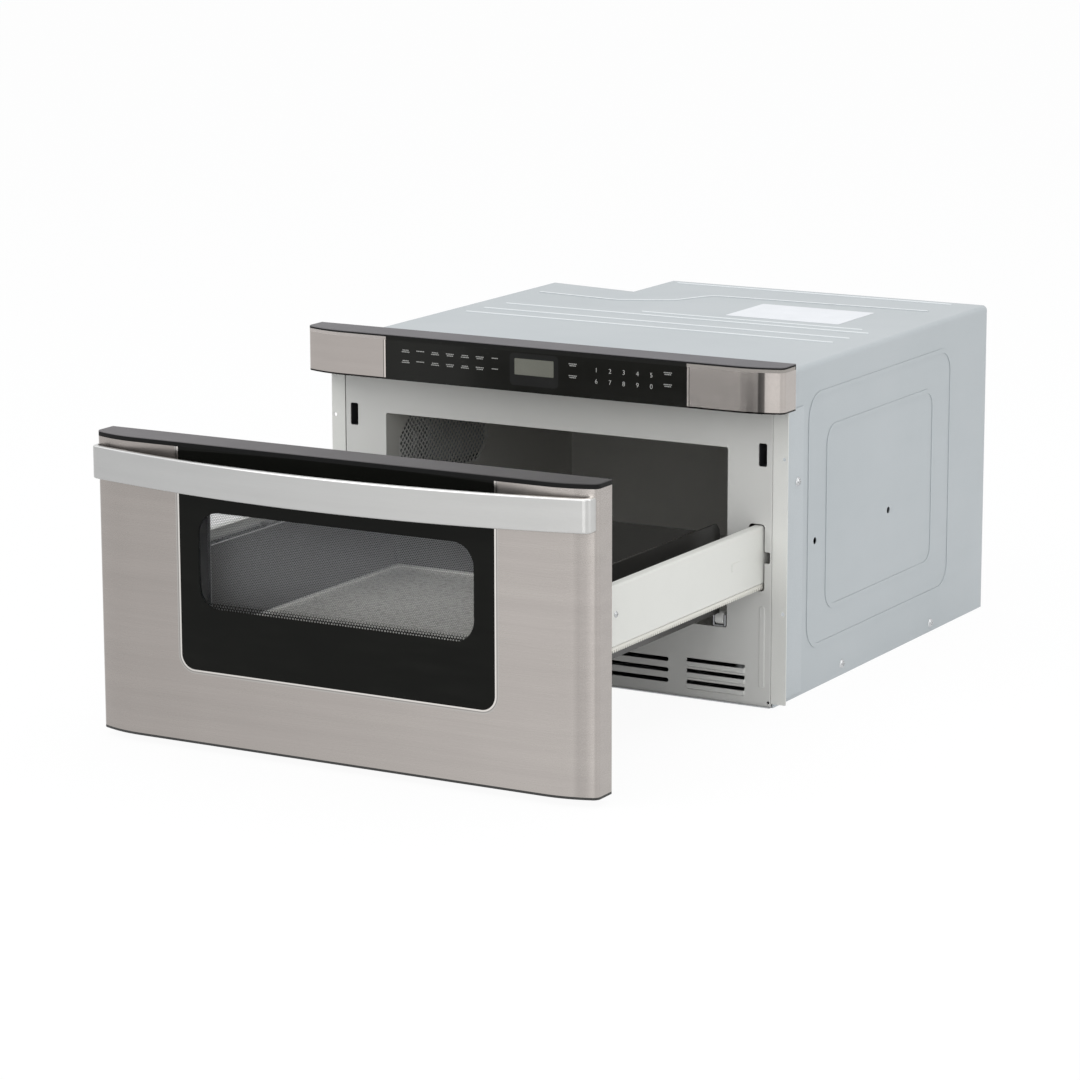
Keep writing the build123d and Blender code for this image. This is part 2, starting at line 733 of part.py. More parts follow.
# ------------------------------------------------------------------ mounting flanges
with BuildPart() as mounting_flanges:
    wall_y((plate_half_width + plate_gap, flange_outer), (flange_bottom, flange_top),
           (0.0, plate_thickness), 1.0)
    wall_x((plate_thickness / 2, flange_leg_depth), (flange_bottom, flange_leg_top),
           (case_half_width, case_half_width + plate_thickness))
    for hole_z in flange_hole_z:
        rod_y(flange_hole_radius, (-1.0, plate_thickness + 1.0), flange_hole_x, hole_z, Mode.SUBTRACT)
    mirror(about=Plane.YZ)
mounting_flanges.part.label = "mounting_flanges"
export_step(mounting_flanges.part, "parts/mounting_flanges.step")

# ------------------------------------------------------------------ cavity liner
with BuildPart() as cavity_liner:
    wall_y((-liner_outer, liner_outer), (liner_bottom, liner_top), (plate_thickness, liner_back),
           cavity_corner + sheet)
    wall_y((-liner_outer - liner_flange, liner_outer + liner_flange),
           (liner_bottom - liner_flange, liner_top + liner_flange),
           (plate_thickness, plate_thickness + sheet), 4.0)
    wall_y((-cavity_half_width, cavity_half_width), (cavity_bottom, cavity_top),
           (0.0, cavity_depth), cavity_corner, Mode.SUBTRACT)
    cut_patch(screen_y, screen_z, (-liner_outer - 1.0, -cavity_half_width + 1.0), screen_corner)
    rod_z(feed_radius, (cavity_top - 1.0, liner_top + 1.0), 0, stirrer_y, Mode.SUBTRACT)
cavity_liner.part.label = "cavity_liner"
export_step(cavity_liner.part, "parts/cavity_liner.step")

# ------------------------------------------------------------------ perforated screen in the left wall
with BuildPart() as vent_screen:
    cut_patch((screen_y[0] - screen_lap, screen_y[1] + screen_lap),
              (screen_z[0] - screen_lap, screen_z[1] + screen_lap),
              (-liner_outer - sheet, -liner_outer), screen_corner, Mode.ADD)
    with BuildSketch(Plane.YZ.offset(-liner_outer - sheet - 0.5)):
        for row, holes in enumerate(screen_rows):
            row_z = (screen_z[0] + screen_z[1]) / 2 + (row - 2) * screen_pitch[1]
            with Locations(((screen_y[0] + screen_y[1]) / 2, row_z)):
                with GridLocations(*screen_pitch, holes, 1):
                    RegularPolygon(screen_hole_radius, 6)
    extrude(amount=sheet + 1.0, mode=Mode.SUBTRACT)
vent_screen.part.label = "vent_screen"
export_step(vent_screen.part, "parts/vent_screen.step")

# ------------------------------------------------------------------ stirrer cover under the ceiling
with BuildPart() as stirrer_cover:
    cover_inner = stirrer_cover_half - stirrer_cover_wall
    cover_floor = cavity_top - stirrer_cover_height
    cover_y = (stirrer_y - stirrer_cover_half, stirrer_y + stirrer_cover_half)
    wall_z((-stirrer_cover_half, stirrer_cover_half), cover_y, (cover_floor, cavity_top), 14.0)
    fillet(stirrer_cover.faces().sort_by(Axis.Z)[0].edges(), radius=3.0)
    wall_z((-cover_inner, cover_inner), (stirrer_y - cover_inner, stirrer_y + cover_inner),
           (cover_floor + stirrer_cover_wall, cavity_top + 1.0), 12.0, Mode.SUBTRACT)
stirrer_cover.part.label = "stirrer_cover"
export_step(stirrer_cover.part, "parts/stirrer_cover.step")

# ------------------------------------------------------------------ waveguide
with BuildPart() as waveguide:
    wall_z((-guide_half_width, guide_half_width), guide_y, (liner_top, guide_top), 4.0)
    wall_z((-guide_half_width - guide_foot, guide_half_width + guide_foot),
           (guide_y[0] - guide_foot, liner_back), (liner_top, liner_top + sheet), 6.0)
    wall_z((-guide_half_width + sheet, guide_half_width - sheet), (guide_y[0] + sheet, guide_y[1] - sheet),
           (liner_top + sheet, guide_top - sheet), 3.0, Mode.SUBTRACT)
    rod_z(feed_radius, (liner_top - 1.0, liner_top + sheet + 1.0), 0, stirrer_y, Mode.SUBTRACT)
    rod_z(stirrer_shaft_radius + 0.6, (guide_top - sheet - 1.0, guide_top + 1.0), 0, stirrer_y,
          Mode.SUBTRACT)
    rod_y(antenna_radius + 2.0, (guide_y[1] - sheet - 1.0, guide_y[1] + 1.0), 0, magnetron_z, Mode.SUBTRACT)
waveguide.part.label = "waveguide"
export_step(waveguide.part, "parts/waveguide.step")

# ------------------------------------------------------------------ mode stirrer
blade_z = cavity_top - stirrer_cover_height / 2
hub_z = (blade_z - stirrer_hub[1] / 2, blade_z + stirrer_hub[1] / 2)
with BuildPart() as stirrer:
    rod_z(stirrer_shaft_radius, (hub_z[0], guide_top + 12.0), 0, stirrer_y)
    rod_z(stirrer_hub[0], hub_z, 0, stirrer_y)
    with BuildSketch(Plane.XY.offset(blade_z - stirrer_blade[2] / 2)):
        with Locations((0, stirrer_y)):
            with PolarLocations(stirrer_blade_centre, 3, start_angle=30.0):
                Rectangle(stirrer_blade[0], stirrer_blade[1])
    extrude(amount=stirrer_blade[2])
stirrer.part.label = "stirrer"
export_step(stirrer.part, "parts/stirrer.step")

with BuildPart() as stirrer_motor:
    rod_z(stirrer_motor_radius, (guide_top, guide_top + stirrer_motor_height), 0, stirrer_y)
    wall_z((-stirrer_ear[0], stirrer_ear[0]), (stirrer_y - stirrer_ear[1], stirrer_y + stirrer_ear[1]),
           (guide_top, guide_top + stirrer_ear[2]), 3.0)
    wall_z((-9.0, 9.0), (stirrer_y + stirrer_motor_radius - 4.0, stirrer_y + stirrer_motor_radius + 8.0),
           (guide_top + 3.0, guide_top + stirrer_motor_height - 3.0), 1.5)
    rod_z(stirrer_shaft_radius + shaft_clearance, (guide_top - 1.0, guide_top + 12.5), 0, stirrer_y,
          Mode.SUBTRACT)
stirrer_motor.part.label = "stirrer_motor"
export_step(stirrer_motor.part, "parts/stirrer_motor.step")

# ------------------------------------------------------------------ magnetron
yoke_y = (guide_y[1], guide_y[1] + magnetron_depth)
yoke_z = (magnetron_z - magnetron_half, magnetron_z + magnetron_half)
with BuildPart() as magnetron:
    wall_y((-magnetron_half, magnetron_half), yoke_z, yoke_y, 3.0)
    wall_x((yoke_y[0] + magnetron_wall, yoke_y[1] - magnetron_wall),
           (yoke_z[0] + magnetron_wall, yoke_z[1] - magnetron_wall),
           (-magnetron_half - 1.0, magnetron_half + 1.0), 0.0, Mode.SUBTRACT)
    rod_y(magnetron_core_radius, (yoke_y[0] + 1.0, yoke_y[1] - 1.0), 0, magnetron_z)
    for fin in range(magnetron_fins):
        fin_y = (yoke_y[0] + yoke_y[1]) / 2 + (fin - (magnetron_fins - 1) / 2) * fin_pitch
        wall_y((-magnetron_half + 1.0, magnetron_half - 1.0), (yoke_z[0] + 1.0, yoke_z[1] - 1.0),
               (fin_y - fin_sheet / 2, fin_y + fin_sheet / 2))
    wall_y((-filter_box[0], filter_box[0]), (magnetron_z - filter_box[1], magnetron_z + filter_box[1]),
           (yoke_y[1] - 1.0, yoke_y[1] + filter_box[2]), 4.0)
    rod_y(antenna_radius, (yoke_y[0] - antenna_length, yoke_y[0] + magnetron_wall), 0, magnetron_z)
magnetron.part.label = "magnetron"
export_step(magnetron.part, "parts/magnetron.step")

# ------------------------------------------------------------------ transformer and capacitor
core_middle = (transformer_y[0] + transformer_y[1]) / 2
with BuildPart() as transformer:
    wall_z((transformer_x[0] - transformer_foot[0], transformer_x[1] + transformer_foot[0]), transformer_y,
           (plate_thickness, plate_thickness + transformer_foot[1]), 3.0)
    wall_z(transformer_x, (core_middle - core_half, core_middle + core_half),
           (plate_thickness, plate_thickness + transformer_height), 1.0)
    for coil_rise in coil_z:
        coil_middle = plate_thickness + coil_rise
        wall_z((transformer_x[0] + coil_inset[0], transformer_x[1] - coil_inset[0]),
               (transformer_y[0] + coil_inset[1], transformer_y[1] - coil_inset[1]),
               (coil_middle - coil_height / 2, coil_middle + coil_height / 2), coil_corner)
transformer.part.label = "transformer"
export_step(transformer.part, "parts/transformer.step")

can_top = plate_thickness + capacitor_size[2]
with BuildPart() as capacitor:
    with BuildSketch(Plane.XY.offset(plate_thickness)):
        with Locations(capacitor_place):
            SlotOverall(capacitor_size[0], capacitor_size[1])
    extrude(amount=capacitor_size[2])
    for band_z in clamp_z:
        with BuildSketch(Plane.XY.offset(band_z)):
            with Locations(capacitor_place):
                SlotOverall(capacitor_size[0] + 2 * clamp_band[0], capacitor_size[1] + 2 * clamp_band[0])
        extrude(amount=clamp_band[1])
    for pin_x in (capacitor_place[0] - terminal_x, capacitor_place[0] + terminal_x):
        rod_z(terminal_base[0], (can_top - 1.0, can_top + terminal_base[1]), pin_x, capacitor_place[1])
        wall_z((pin_x - terminal_tab[0], pin_x + terminal_tab[0]),
               (capacitor_place[1] - terminal_tab[1], capacitor_place[1] + terminal_tab[1]),
               (can_top + terminal_base[1] - 1.0, can_top + terminal_tab[2]))
capacitor.part.label = "capacitor"
export_step(capacitor.part, "parts/capacitor.step")

# ------------------------------------------------------------------ cooling fan
ring_front = rear_inner - fan_ring_depth - fan_plate
fan_blade_y = ring_front + fan_plate + fan_ring_depth / 2
with BuildPart() as fan_shroud:
    wall_y((fan_x - fan_frame_half, fan_x + fan_frame_half),
           (fan_z - fan_frame_half, fan_z + fan_frame_half), (rear_inner - fan_plate, rear_inner), 8.0)
    rod_y(fan_ring_radius + fan_ring_wall, (ring_front, rear_inner), fan_x, fan_z)
    rod_y(fan_ring_radius, (ring_front + fan_plate, rear_inner + 1.0), fan_x, fan_z, Mode.SUBTRACT)
    with BuildSketch(Plane.XZ.offset(-ring_front + 0.5)):
        with Locations((fan_x, fan_z)):
            with PolarLocations(fan_window_place, 4, start_angle=45.0):
                RegularPolygon(fan_window_radius, 4, rotation=45.0)
            Circle(fan_shaft_radius + 3.0)
    extrude(amount=-fan_plate - 1.0, mode=Mode.SUBTRACT)
fan_shroud.part.label = "fan_shroud"
export_step(fan_shroud.part, "parts/fan_shroud.step")

motor_back = ring_front - fan_motor_depth
with BuildPart() as fan_motor:
    wall_y((fan_x - fan_core[0], fan_x + fan_core[0]), (fan_z - fan_core[1], fan_z + fan_core[1]),
           (motor_back + 9.0, ring_front - 9.0), 3.0)
    rod_y(fan_rotor_radius, (motor_back, ring_front), fan_x, fan_z)
    wall_y((fan_x - fan_coil[0], fan_x + fan_coil[0]), (fan_z - fan_coil[1], fan_z - fan_coil[2]),
           (motor_back + 3.0, ring_front - 3.0), 5.0)
    rod_y(fan_shaft_radius + shaft_clearance, (ring_front - 22.0, ring_front + 1.0), fan_x, fan_z,
          Mode.SUBTRACT)
fan_motor.part.label = "fan_motor"
export_step(fan_motor.part, "parts/fan_motor.step")

blade_root = fan_hub_radius - 4.0
with BuildPart() as fan_blade:
    rod_y(fan_shaft_radius, (ring_front - 20.0, fan_blade_y + 2.0), fan_x, fan_z)
    rod_y(fan_hub_radius, (fan_blade_y - fan_hub_half, fan_blade_y + fan_hub_half), fan_x, fan_z)
    for blade in range(fan_blades):
        turn = math.radians(blade * 360.0 / fan_blades)
        outward = (math.sin(turn), 0, math.cos(turn))
        root = (fan_x + blade_root * outward[0], fan_blade_y, fan_z + blade_root * outward[2])
        with BuildSketch(Plane(origin=root, x_dir=(0, 1, 0), z_dir=outward)):
            Rectangle(*fan_blade_sheet, rotation=fan_blade_pitch)
        extrude(amount=fan_blade_radius - blade_root)
fan_blade.part.label = "fan_blade"
export_step(fan_blade.part, "parts/fan_blade.step")

# ------------------------------------------------------------------ cord gland, cavity lamp, power board
with BuildPart() as cord_gland:
    rod_y(gland_radius, (rear_inner - 3.0, rear_face + 1.0), gland_x, gland_z)
    rod_y(gland_rim, (rear_face, case_depth - fit_gap), gland_x, gland_z)
    with BuildSketch(Plane.XZ.offset(-rear_inner + gland_nut[1])):
        with Locations((gland_x, gland_z)):
            RegularPolygon(gland_nut[0], 6)
    extrude(amount=-gland_nut[1])
    rod_y(gland_bore, (rear_inner - 8.0, case_depth + 1.0), gland_x, gland_z, Mode.SUBTRACT)
cord_gland.part.label = "cord_gland"
export_step(cord_gland.part, "parts/cord_gland.step")

lamp_face = -liner_outer - sheet
lamp_x = (lamp_face - lamp_box_depth, lamp_face)
with BuildPart() as cavity_lamp:
    wall_x(lamp_y, lamp_z, lamp_x, 4.0)
    wall_x((lamp_y[0] + 2.0, lamp_y[1] - 2.0), (lamp_z[0] + 2.0, lamp_z[1] - 2.0),
           (lamp_x[0] + 2.0, lamp_face + 1.0), 3.0, Mode.SUBTRACT)
    bulb_x = (lamp_x[0] + lamp_x[1]) / 2
    bulb_y = (lamp_y[0] + lamp_y[1]) / 2
    rod_z(lamp_socket_radius, (lamp_z[0] + 1.0, lamp_z[0] + lamp_socket_height), bulb_x, bulb_y)
    rod_z(lamp_bulb_radius, (lamp_z[0] + lamp_socket_height, lamp_z[0] + lamp_bulb_top), bulb_x, bulb_y)
    fillet(cavity_lamp.edges().filter_by(GeomType.CIRCLE).filter_by(
        lambda e: abs(e.radius - lamp_bulb_radius) < 0.01).sort_by(Axis.Z)[-1], radius=6.0)
cavity_lamp.part.label = "cavity_lamp"
export_step(cavity_lamp.part, "parts/cavity_lamp.step")

board_z = liner_top + board_rise
board_top = board_z + board_thickness
with BuildPart() as power_board:
    wall_z(board_x, board_y, (board_z, board_top), 2.0)
    for post_x in (board_x[0] + board_post_inset, board_x[1] - board_post_inset):
        for post_y in (board_y[0] + board_post_inset, board_y[1] - board_post_inset):
            rod_z(board_post_radius, (liner_top, board_z + 1.0), post_x, post_y)
    for width, depth, height, place_x, place_y in board_blocks:
        with BuildSketch(Plane.XY.offset(board_top)):
            with Locations((board_x[0] + place_x, board_y[0] + place_y)):
                Rectangle(width, depth)
        extrude(amount=height)
    for place_x in board_cans:
        rod_z(board_can[0], (board_top, board_top + board_can[1]), board_x[0] + place_x, board_y[0] + 84.0)
power_board.part.label = "power_board"
export_step(power_board.part, "parts/power_board.step")

# ------------------------------------------------------------------ telescopic rails
def rail_pattern(middle_y, count, pitch, length, width, x):
    # row of slots or round holes along the web of a rail member
    with BuildSketch(Plane.YZ.offset(x - 1.0)) as row:
        with Locations((middle_y, rail_centre_z)):
            with GridLocations(pitch, pitch, count, 1):
                if length > width:
                    SlotOverall(length, width)
                else:
                    Circle(width / 2)
    extrude(row.sketch, amount=rail_wall + 2.0, mode=Mode.SUBTRACT)


with BuildPart() as outer_rails:
    folded_y(
        [
            (rail_lip, rail_centre_z + rail_height / 2),
            (rail_web, rail_centre_z + rail_height / 2),
            (rail_web, rail_centre_z - rail_height / 2),
            (rail_lip, rail_centre_z - rail_height / 2),
        ],
        fold_bend, rail_wall, Side.LEFT, (rail_start, rail_end),
    )
    rail_pattern(rail_start + rail_length / 2, rail_holes, rail_hole_pitch, 0.0, 2 * rail_hole_radius,
                 rail_web)
    mirror(about=Plane.YZ)
outer_rails.part.label = "outer_rails"
export_step(outer_rails.part, "parts/outer_rails.step")

middle_lip = rail_lip - 0.4
middle_start = rail_start - drawer_travel / 2
with BuildPart() as middle_rail_right:
    folded_y(
        [
            (middle_lip, rail_centre_z + middle_height / 2),
            (middle_web, rail_centre_z + middle_height / 2),
            (middle_web, rail_centre_z - middle_height / 2),
            (middle_lip, rail_centre_z - middle_height / 2),
        ],
        fold_bend, rail_wall, Side.LEFT, (middle_start, middle_start + rail_length),
    )
    rail_pattern(middle_start + rail_length / 2, rail_slots, rail_slot_pitch, *rail_slot, middle_web)
middle_rail_right.part.label = "middle_rail_right"
export_step(middle_rail_right.part, "parts/middle_rail_right.step")

with BuildPart() as middle_rail_left:
    add(middle_rail_right.part)
    mirror(about=Plane.YZ, mode=Mode.REPLACE)
middle_rail_left.part.label = "middle_rail_left"
export_step(middle_rail_left.part, "parts/middle_rail_left.step")

inner_start = rail_start - drawer_travel
with BuildPart() as inner_rails:
    folded_y(
        [
            (inner_lip, rail_centre_z + inner_height / 2),
            (panel_face, rail_centre_z + inner_height / 2),
            (panel_face, rail_centre_z - inner_height / 2),
            (inner_lip, rail_centre_z - inner_height / 2),
        ],
        fold_bend, rail_wall, Side.RIGHT, (inner_start, inner_start + rail_length),
    )
    rail_pattern(inner_start + rail_length / 2, rail_holes, rail_hole_pitch, 0.0, 2 * rail_hole_radius,
                 panel_face - rail_wall)
    mirror(about=Plane.YZ)
inner_rails.part.label = "inner_rails"
export_step(inner_rails.part, "parts/inner_rails.step")

with BuildPart() as rail_brackets:
    folded_y(
        [
            (liner_outer, rail_centre_z + hat_half + hat_foot),
            (liner_outer, rail_centre_z + hat_half),
            (rail_web - sheet, rail_centre_z + hat_half),
            (rail_web - sheet, rail_centre_z - hat_half),
            (liner_outer, rail_centre_z - hat_half),
            (liner_outer, rail_centre_z - hat_half - hat_foot),
        ],
        2.0, sheet, Side.LEFT, (rail_start + 8.0, rail_end - 20.0),
    )
    mirror(about=Plane.YZ)
rail_brackets.part.label = "rail_brackets"
export_step(rail_brackets.part, "parts/rail_brackets.step")

# ------------------------------------------------------------------ drawer side panels
with BuildPart() as side_panel_right:
    folded_y(
        [
            (panel_inner, panel_top),
            (panel_outer, panel_top),
            (panel_outer, panel_bottom),
            (panel_inner, panel_bottom),
        ],
        fold_bend, panel_sheet, Side.RIGHT, (door_back, panel_rear),
    )
    wall_y(panel_tab, (panel_bottom + 6.0, panel_top - 6.0),
           (door_back, door_back + panel_sheet), 2.0)
side_panel_right.part.label = "side_panel_right"
export_step(side_panel_right.part, "parts/side_panel_right.step")

with BuildPart() as side_panel_left:
    add(side_panel_right.part)
    mirror(about=Plane.YZ, mode=Mode.REPLACE)
side_panel_left.part.label = "side_panel_left"
export_step(side_panel_left.part, "parts/side_panel_left.step")

# ------------------------------------------------------------------ rack and pinion of the drawer drive
slope = math.tan(math.radians(pressure_angle))
tip_z = pitch_line - rack_addendum * gear_module
root_z = pitch_line + dedendum * gear_module
tip_half = tooth_half - rack_addendum * gear_module * slope
root_half = tooth_half + dedendum * gear_module * slope
rack_front = door_back + rack_inset
rack_outline = [(rack_front, panel_bottom), (rack_front, root_z)]
rack_tooth = math.ceil((rack_front - pinion_y + root_half) / gear_pitch - 0.5)
while pinion_y + (rack_tooth + 0.5) * gear_pitch + root_half < panel_rear:
    tooth_y = pinion_y + (rack_tooth + 0.5) * gear_pitch
    rack_outline.append((tooth_y - root_half, root_z))
    rack_outline.append((tooth_y - tip_half, tip_z))
    rack_outline.append((tooth_y + tip_half, tip_z))
    rack_outline.append((tooth_y + root_half, root_z))
    rack_tooth = rack_tooth + 1
rack_outline.append((panel_rear, root_z))
rack_outline.append((panel_rear, panel_bottom))
with BuildPart() as drive_rack:
    with BuildSketch(Plane.YZ.offset(rack_x[0])):
        with BuildLine():
            Polyline(*rack_outline, close=True)
        make_face()
    extrude(amount=rack_x[1] - rack_x[0])
drive_rack.part.label = "drive_rack"
export_step(drive_rack.part, "parts/drive_rack.step")

outer_radius = pinion_radius + gear_module
root_radius = pinion_radius - dedendum * gear_module
flank_steps = 4
flank_radii = [root_radius]
for step in range(flank_steps + 1):
    flank_radii.append(gear_base_radius + (outer_radius - gear_base_radius) * step / flank_steps)
pinion_outline = []
for tooth in range(pinion_teeth):
    tooth_turn = math.pi / 2 - tooth * 2 * math.pi / pinion_teeth
    for flank_side, radii in ((1, flank_radii), (-1, flank_radii[::-1])):
        for radius in radii:
            half_angle = tooth_half / pinion_radius + involute(pinion_radius) - involute(radius)
            turn = tooth_turn + flank_side * half_angle
            pinion_outline.append((pinion_y + radius * math.cos(turn), pinion_z + radius * math.sin(turn)))
with BuildPart() as drive_pinion:
    with BuildSketch(Plane.YZ.offset(rack_x[0])):
        with BuildLine():
            Polyline(*pinion_outline, close=True)
        make_face()
    extrude(amount=rack_x[1] - rack_x[0])
    rod_x(pinion_shaft_radius, (gearbox_x[1] - pinion_seat, rack_x[1]), pinion_y, pinion_z)
    rod_x(pinion_collar_radius, (gearbox_x[1] + 1.0, rack_x[0]), pinion_y, pinion_z)
drive_pinion.part.label = "drive_pinion"
export_step(drive_pinion.part, "parts/drive_pinion.step")

with BuildPart() as drive_motor:
    wall_x(gearbox_y, gearbox_z, gearbox_x, 6.0)
    chamfer(drive_motor.faces().sort_by(Axis.X)[-1].edges(), length=1.5)
    motor_x = (gearbox_x[0] + gearbox_x[1]) / 2
    motor_end = gearbox_z[0] - drive_motor_length
    rod_z(drive_motor_radius, (motor_end, gearbox_z[0]), motor_x, drive_motor_y)
    rod_z(drive_motor_boss[0], (motor_end - drive_motor_boss[1], motor_end + 1.0), motor_x, drive_motor_y)
    rod_x(pinion_shaft_radius + shaft_clearance, (gearbox_x[1] - pinion_seat - 0.5, gearbox_x[1] + 1.0),
          pinion_y, pinion_z, Mode.SUBTRACT)
drive_motor.part.label = "drive_motor"
export_step(drive_motor.part, "parts/drive_motor.step")

# ------------------------------------------------------------------ support rollers
fork_sheet = 1.5 * sheet
fork_x = (roller_x[0] - 1.0 - fork_sheet, roller_x[1] + 1.5 + fork_sheet)
fork_top = roller_z + 4.6
with BuildPart() as roller_brackets:
    folded_y(
        [
            (fork_x[0], fork_top),
            (fork_x[0], cavity_bottom),
            (fork_x[1], cavity_bottom),
            (fork_x[1], fork_top),
        ],
        1.8, fork_sheet, Side.LEFT, (roller_y - 5.6, roller_y + 5.6),
    )
    rod_x(axle_radius, (fork_x[0] + 0.5, fork_x[1] - 0.5), roller_y, roller_z)
    mirror(about=Plane.YZ)
roller_brackets.part.label = "roller_brackets"
export_step(roller_brackets.part, "parts/roller_brackets.step")

with BuildPart() as roller_right:
    rod_x(roller_radius, roller_x, roller_y, roller_z)
    fillet(roller_right.edges(), radius=roller_round)
    rod_x(axle_radius + shaft_clearance, (roller_x[0] - 1.0, roller_x[1] + 1.0), roller_y, roller_z,
          Mode.SUBTRACT)
roller_right.part.label = "roller_right"
export_step(roller_right.part, "parts/roller_right.step")

with BuildPart() as roller_left:
    add(roller_right.part)
    mirror(about=Plane.YZ, mode=Mode.REPLACE)
roller_left.part.label = "roller_left"
export_step(roller_left.part, "parts/roller_left.step")

# ------------------------------------------------------------------ latches and their switches
hook_tip = door_back + hook_length
with BuildPart() as latch_hooks:
    with BuildSketch(Plane.YZ.offset(latch_x - hook_width / 2)):
        with BuildLine():
            Polyline(
                (door_back, hook_z[0]),
                (hook_tip - 3.0, hook_z[0] + 3.0),
                (hook_tip, hook_z[0] + 7.0),
                (hook_tip, hook_z[1] - 5.0),
                (hook_tip - 5.0, hook_z[1]),
                (hook_tip - hook_nose, hook_z[1]),
                (hook_tip - hook_nose, hook_z[1] - hook_neck),
                (door_back + hook_nose, hook_z[1] - hook_neck),
                (door_back + 5.0, hook_z[1]),
                (door_back, hook_z[1]),
                close=True,
            )
        make_face()
    extrude(amount=hook_width)
    mirror(about=Plane.YZ)
latch_hooks.part.label = "latch_hooks"
export_step(latch_hooks.part, "parts/latch_hooks.step")

with BuildPart() as latch_housings:
    wall_y((latch_x - housing_half_width, latch_x + housing_half_width), housing_z,
           (plate_thickness, plate_thickness + housing_depth), 2.0)
    wall_y((latch_x - latch_slot[1] / 2, latch_x + latch_slot[1] / 2),
           (latch_z - latch_slot[0] / 2, latch_z + latch_slot[0] / 2),
           (plate_thickness - 1.0, pocket_rear), 2.0, Mode.SUBTRACT)
    bore_end = button_front + button_length + button_travel + 1.0
    rod_y(button_radius + shaft_clearance, (pocket_rear - 1.0, bore_end), latch_x, latch_z, Mode.SUBTRACT)
    mirror(about=Plane.YZ)
latch_housings.part.label = "latch_housings"
export_step(latch_housings.part, "parts/latch_housings.step")

with BuildPart() as switch_button_right:
    rod_y(button_radius, (button_front, button_front + button_length), latch_x, latch_z)
    fillet(switch_button_right.edges().sort_by(Axis.Y)[0], radius=0.8)
switch_button_right.part.label = "switch_button_right"
export_step(switch_button_right.part, "parts/switch_button_right.step")

with BuildPart() as switch_button_left:
    add(switch_button_right.part)
    mirror(about=Plane.YZ, mode=Mode.REPLACE)
switch_button_left.part.label = "switch_button_left"
export_step(switch_button_left.part, "parts/switch_button_left.step")

# ------------------------------------------------------------------ drawer front
skin_bottom = door_bottom + foot_cap_height
skin_top = door_top - cap_height
opening_half = glass_half_width + trim_width
opening_bottom = glass_bottom - trim_width
opening_corner = glass_corner + trim_width

with BuildPart() as door_skin:
    front_profile(skin_bottom, skin_top - skin_bottom, door_back)
    front_profile(skin_bottom - 1.0, skin_top - skin_bottom + 2.0, door_back, sheet, 5.0, Mode.SUBTRACT)
    lower_rounded(opening_half, (opening_bottom, skin_top + 1.0), (door_front - 1.0, skin_inner + 1.0),
                  opening_corner, Mode.SUBTRACT)
door_skin.part.label = "door_skin"
export_step(door_skin.part, "parts/door_skin.step")

with BuildPart() as glass_trim:
    lower_rounded(opening_half, (opening_bottom, skin_top), (door_front, skin_inner), opening_corner)
    lower_rounded(glass_half_width, (glass_bottom, skin_top + 1.0), (door_front - 1.0, skin_inner + 1.0),
                  glass_corner, Mode.SUBTRACT)
glass_trim.part.label = "glass_trim"
export_step(glass_trim.part, "parts/glass_trim.step")

with BuildPart() as door_glass:
    lower_rounded(glass_half_width - glass_clearance, (glass_bottom + glass_clearance, skin_top),
                  (door_front, bezel_face), glass_corner - glass_clearance)
door_glass.part.label = "door_glass"
export_step(door_glass.part, "parts/door_glass.step")

with BuildPart() as window_bezel:
    lower_rounded(opening_half + bezel_lap, (opening_bottom - bezel_lap, skin_top),
                  (skin_inner, bezel_rear), opening_corner + bezel_lap)
    lower_rounded(glass_half_width, (glass_bottom, skin_top + 1.0), (door_front, bezel_face),
                  glass_corner, Mode.SUBTRACT)
    wall_y((-window_half_width - tunnel_wall, window_half_width + tunnel_wall),
           (window_z[0] - tunnel_wall, window_z[1] + tunnel_wall), (bezel_face, tunnel_end),
           window_corner + tunnel_wall)
    wall_y((-window_half_width, window_half_width), window_z, (bezel_face - 1.0, tunnel_end + 1.0),
           window_corner, Mode.SUBTRACT)
window_bezel.part.label = "window_bezel"
export_step(window_bezel.part, "parts/window_bezel.step")

pane_half = window_half_width + inner_glass_lap
pane_z = (window_z[0] - inner_glass_lap, window_z[1] + inner_glass_lap)
with BuildPart() as door_screen:
    wall_y((-pane_half, pane_half), pane_z, (tunnel_end, pane_front), pane_corner)
    with BuildSketch(Plane.XZ.offset(-tunnel_end + 0.5)):
        with Locations((0, (window_z[0] + window_z[1]) / 2)):
            with GridLocations(door_screen_pitch, door_screen_pitch, *door_screen_holes):
                RegularPolygon(door_screen_hole, 6)
    extrude(amount=-screen_sheet - 1.0, mode=Mode.SUBTRACT)
door_screen.part.label = "door_screen"
export_step(door_screen.part, "parts/door_screen.step")

with BuildPart() as inner_glass:
    wall_y((-pane_half, pane_half), pane_z, (pane_front, pane_rear), pane_corner)
inner_glass.part.label = "inner_glass"
export_step(inner_glass.part, "parts/inner_glass.step")

frame_half = front_half_width - sheet
frame_front = pane_rear - frame_wall_depth
with BuildPart() as door_frame:
    wall_y((-frame_half, frame_half), (skin_bottom, skin_top), (frame_front, door_back), 2.0)
    wall_y((-frame_half + sheet, frame_half - sheet), (skin_bottom + sheet, skin_top - sheet),
           (frame_front - 1.0, pane_rear), 1.0, Mode.SUBTRACT)
    wall_y((-window_half_width, window_half_width), window_z, (pane_rear - 1.0, door_back + 1.0),
           window_corner, Mode.SUBTRACT)
door_frame.part.label = "door_frame"
export_step(door_frame.part, "parts/door_frame.step")

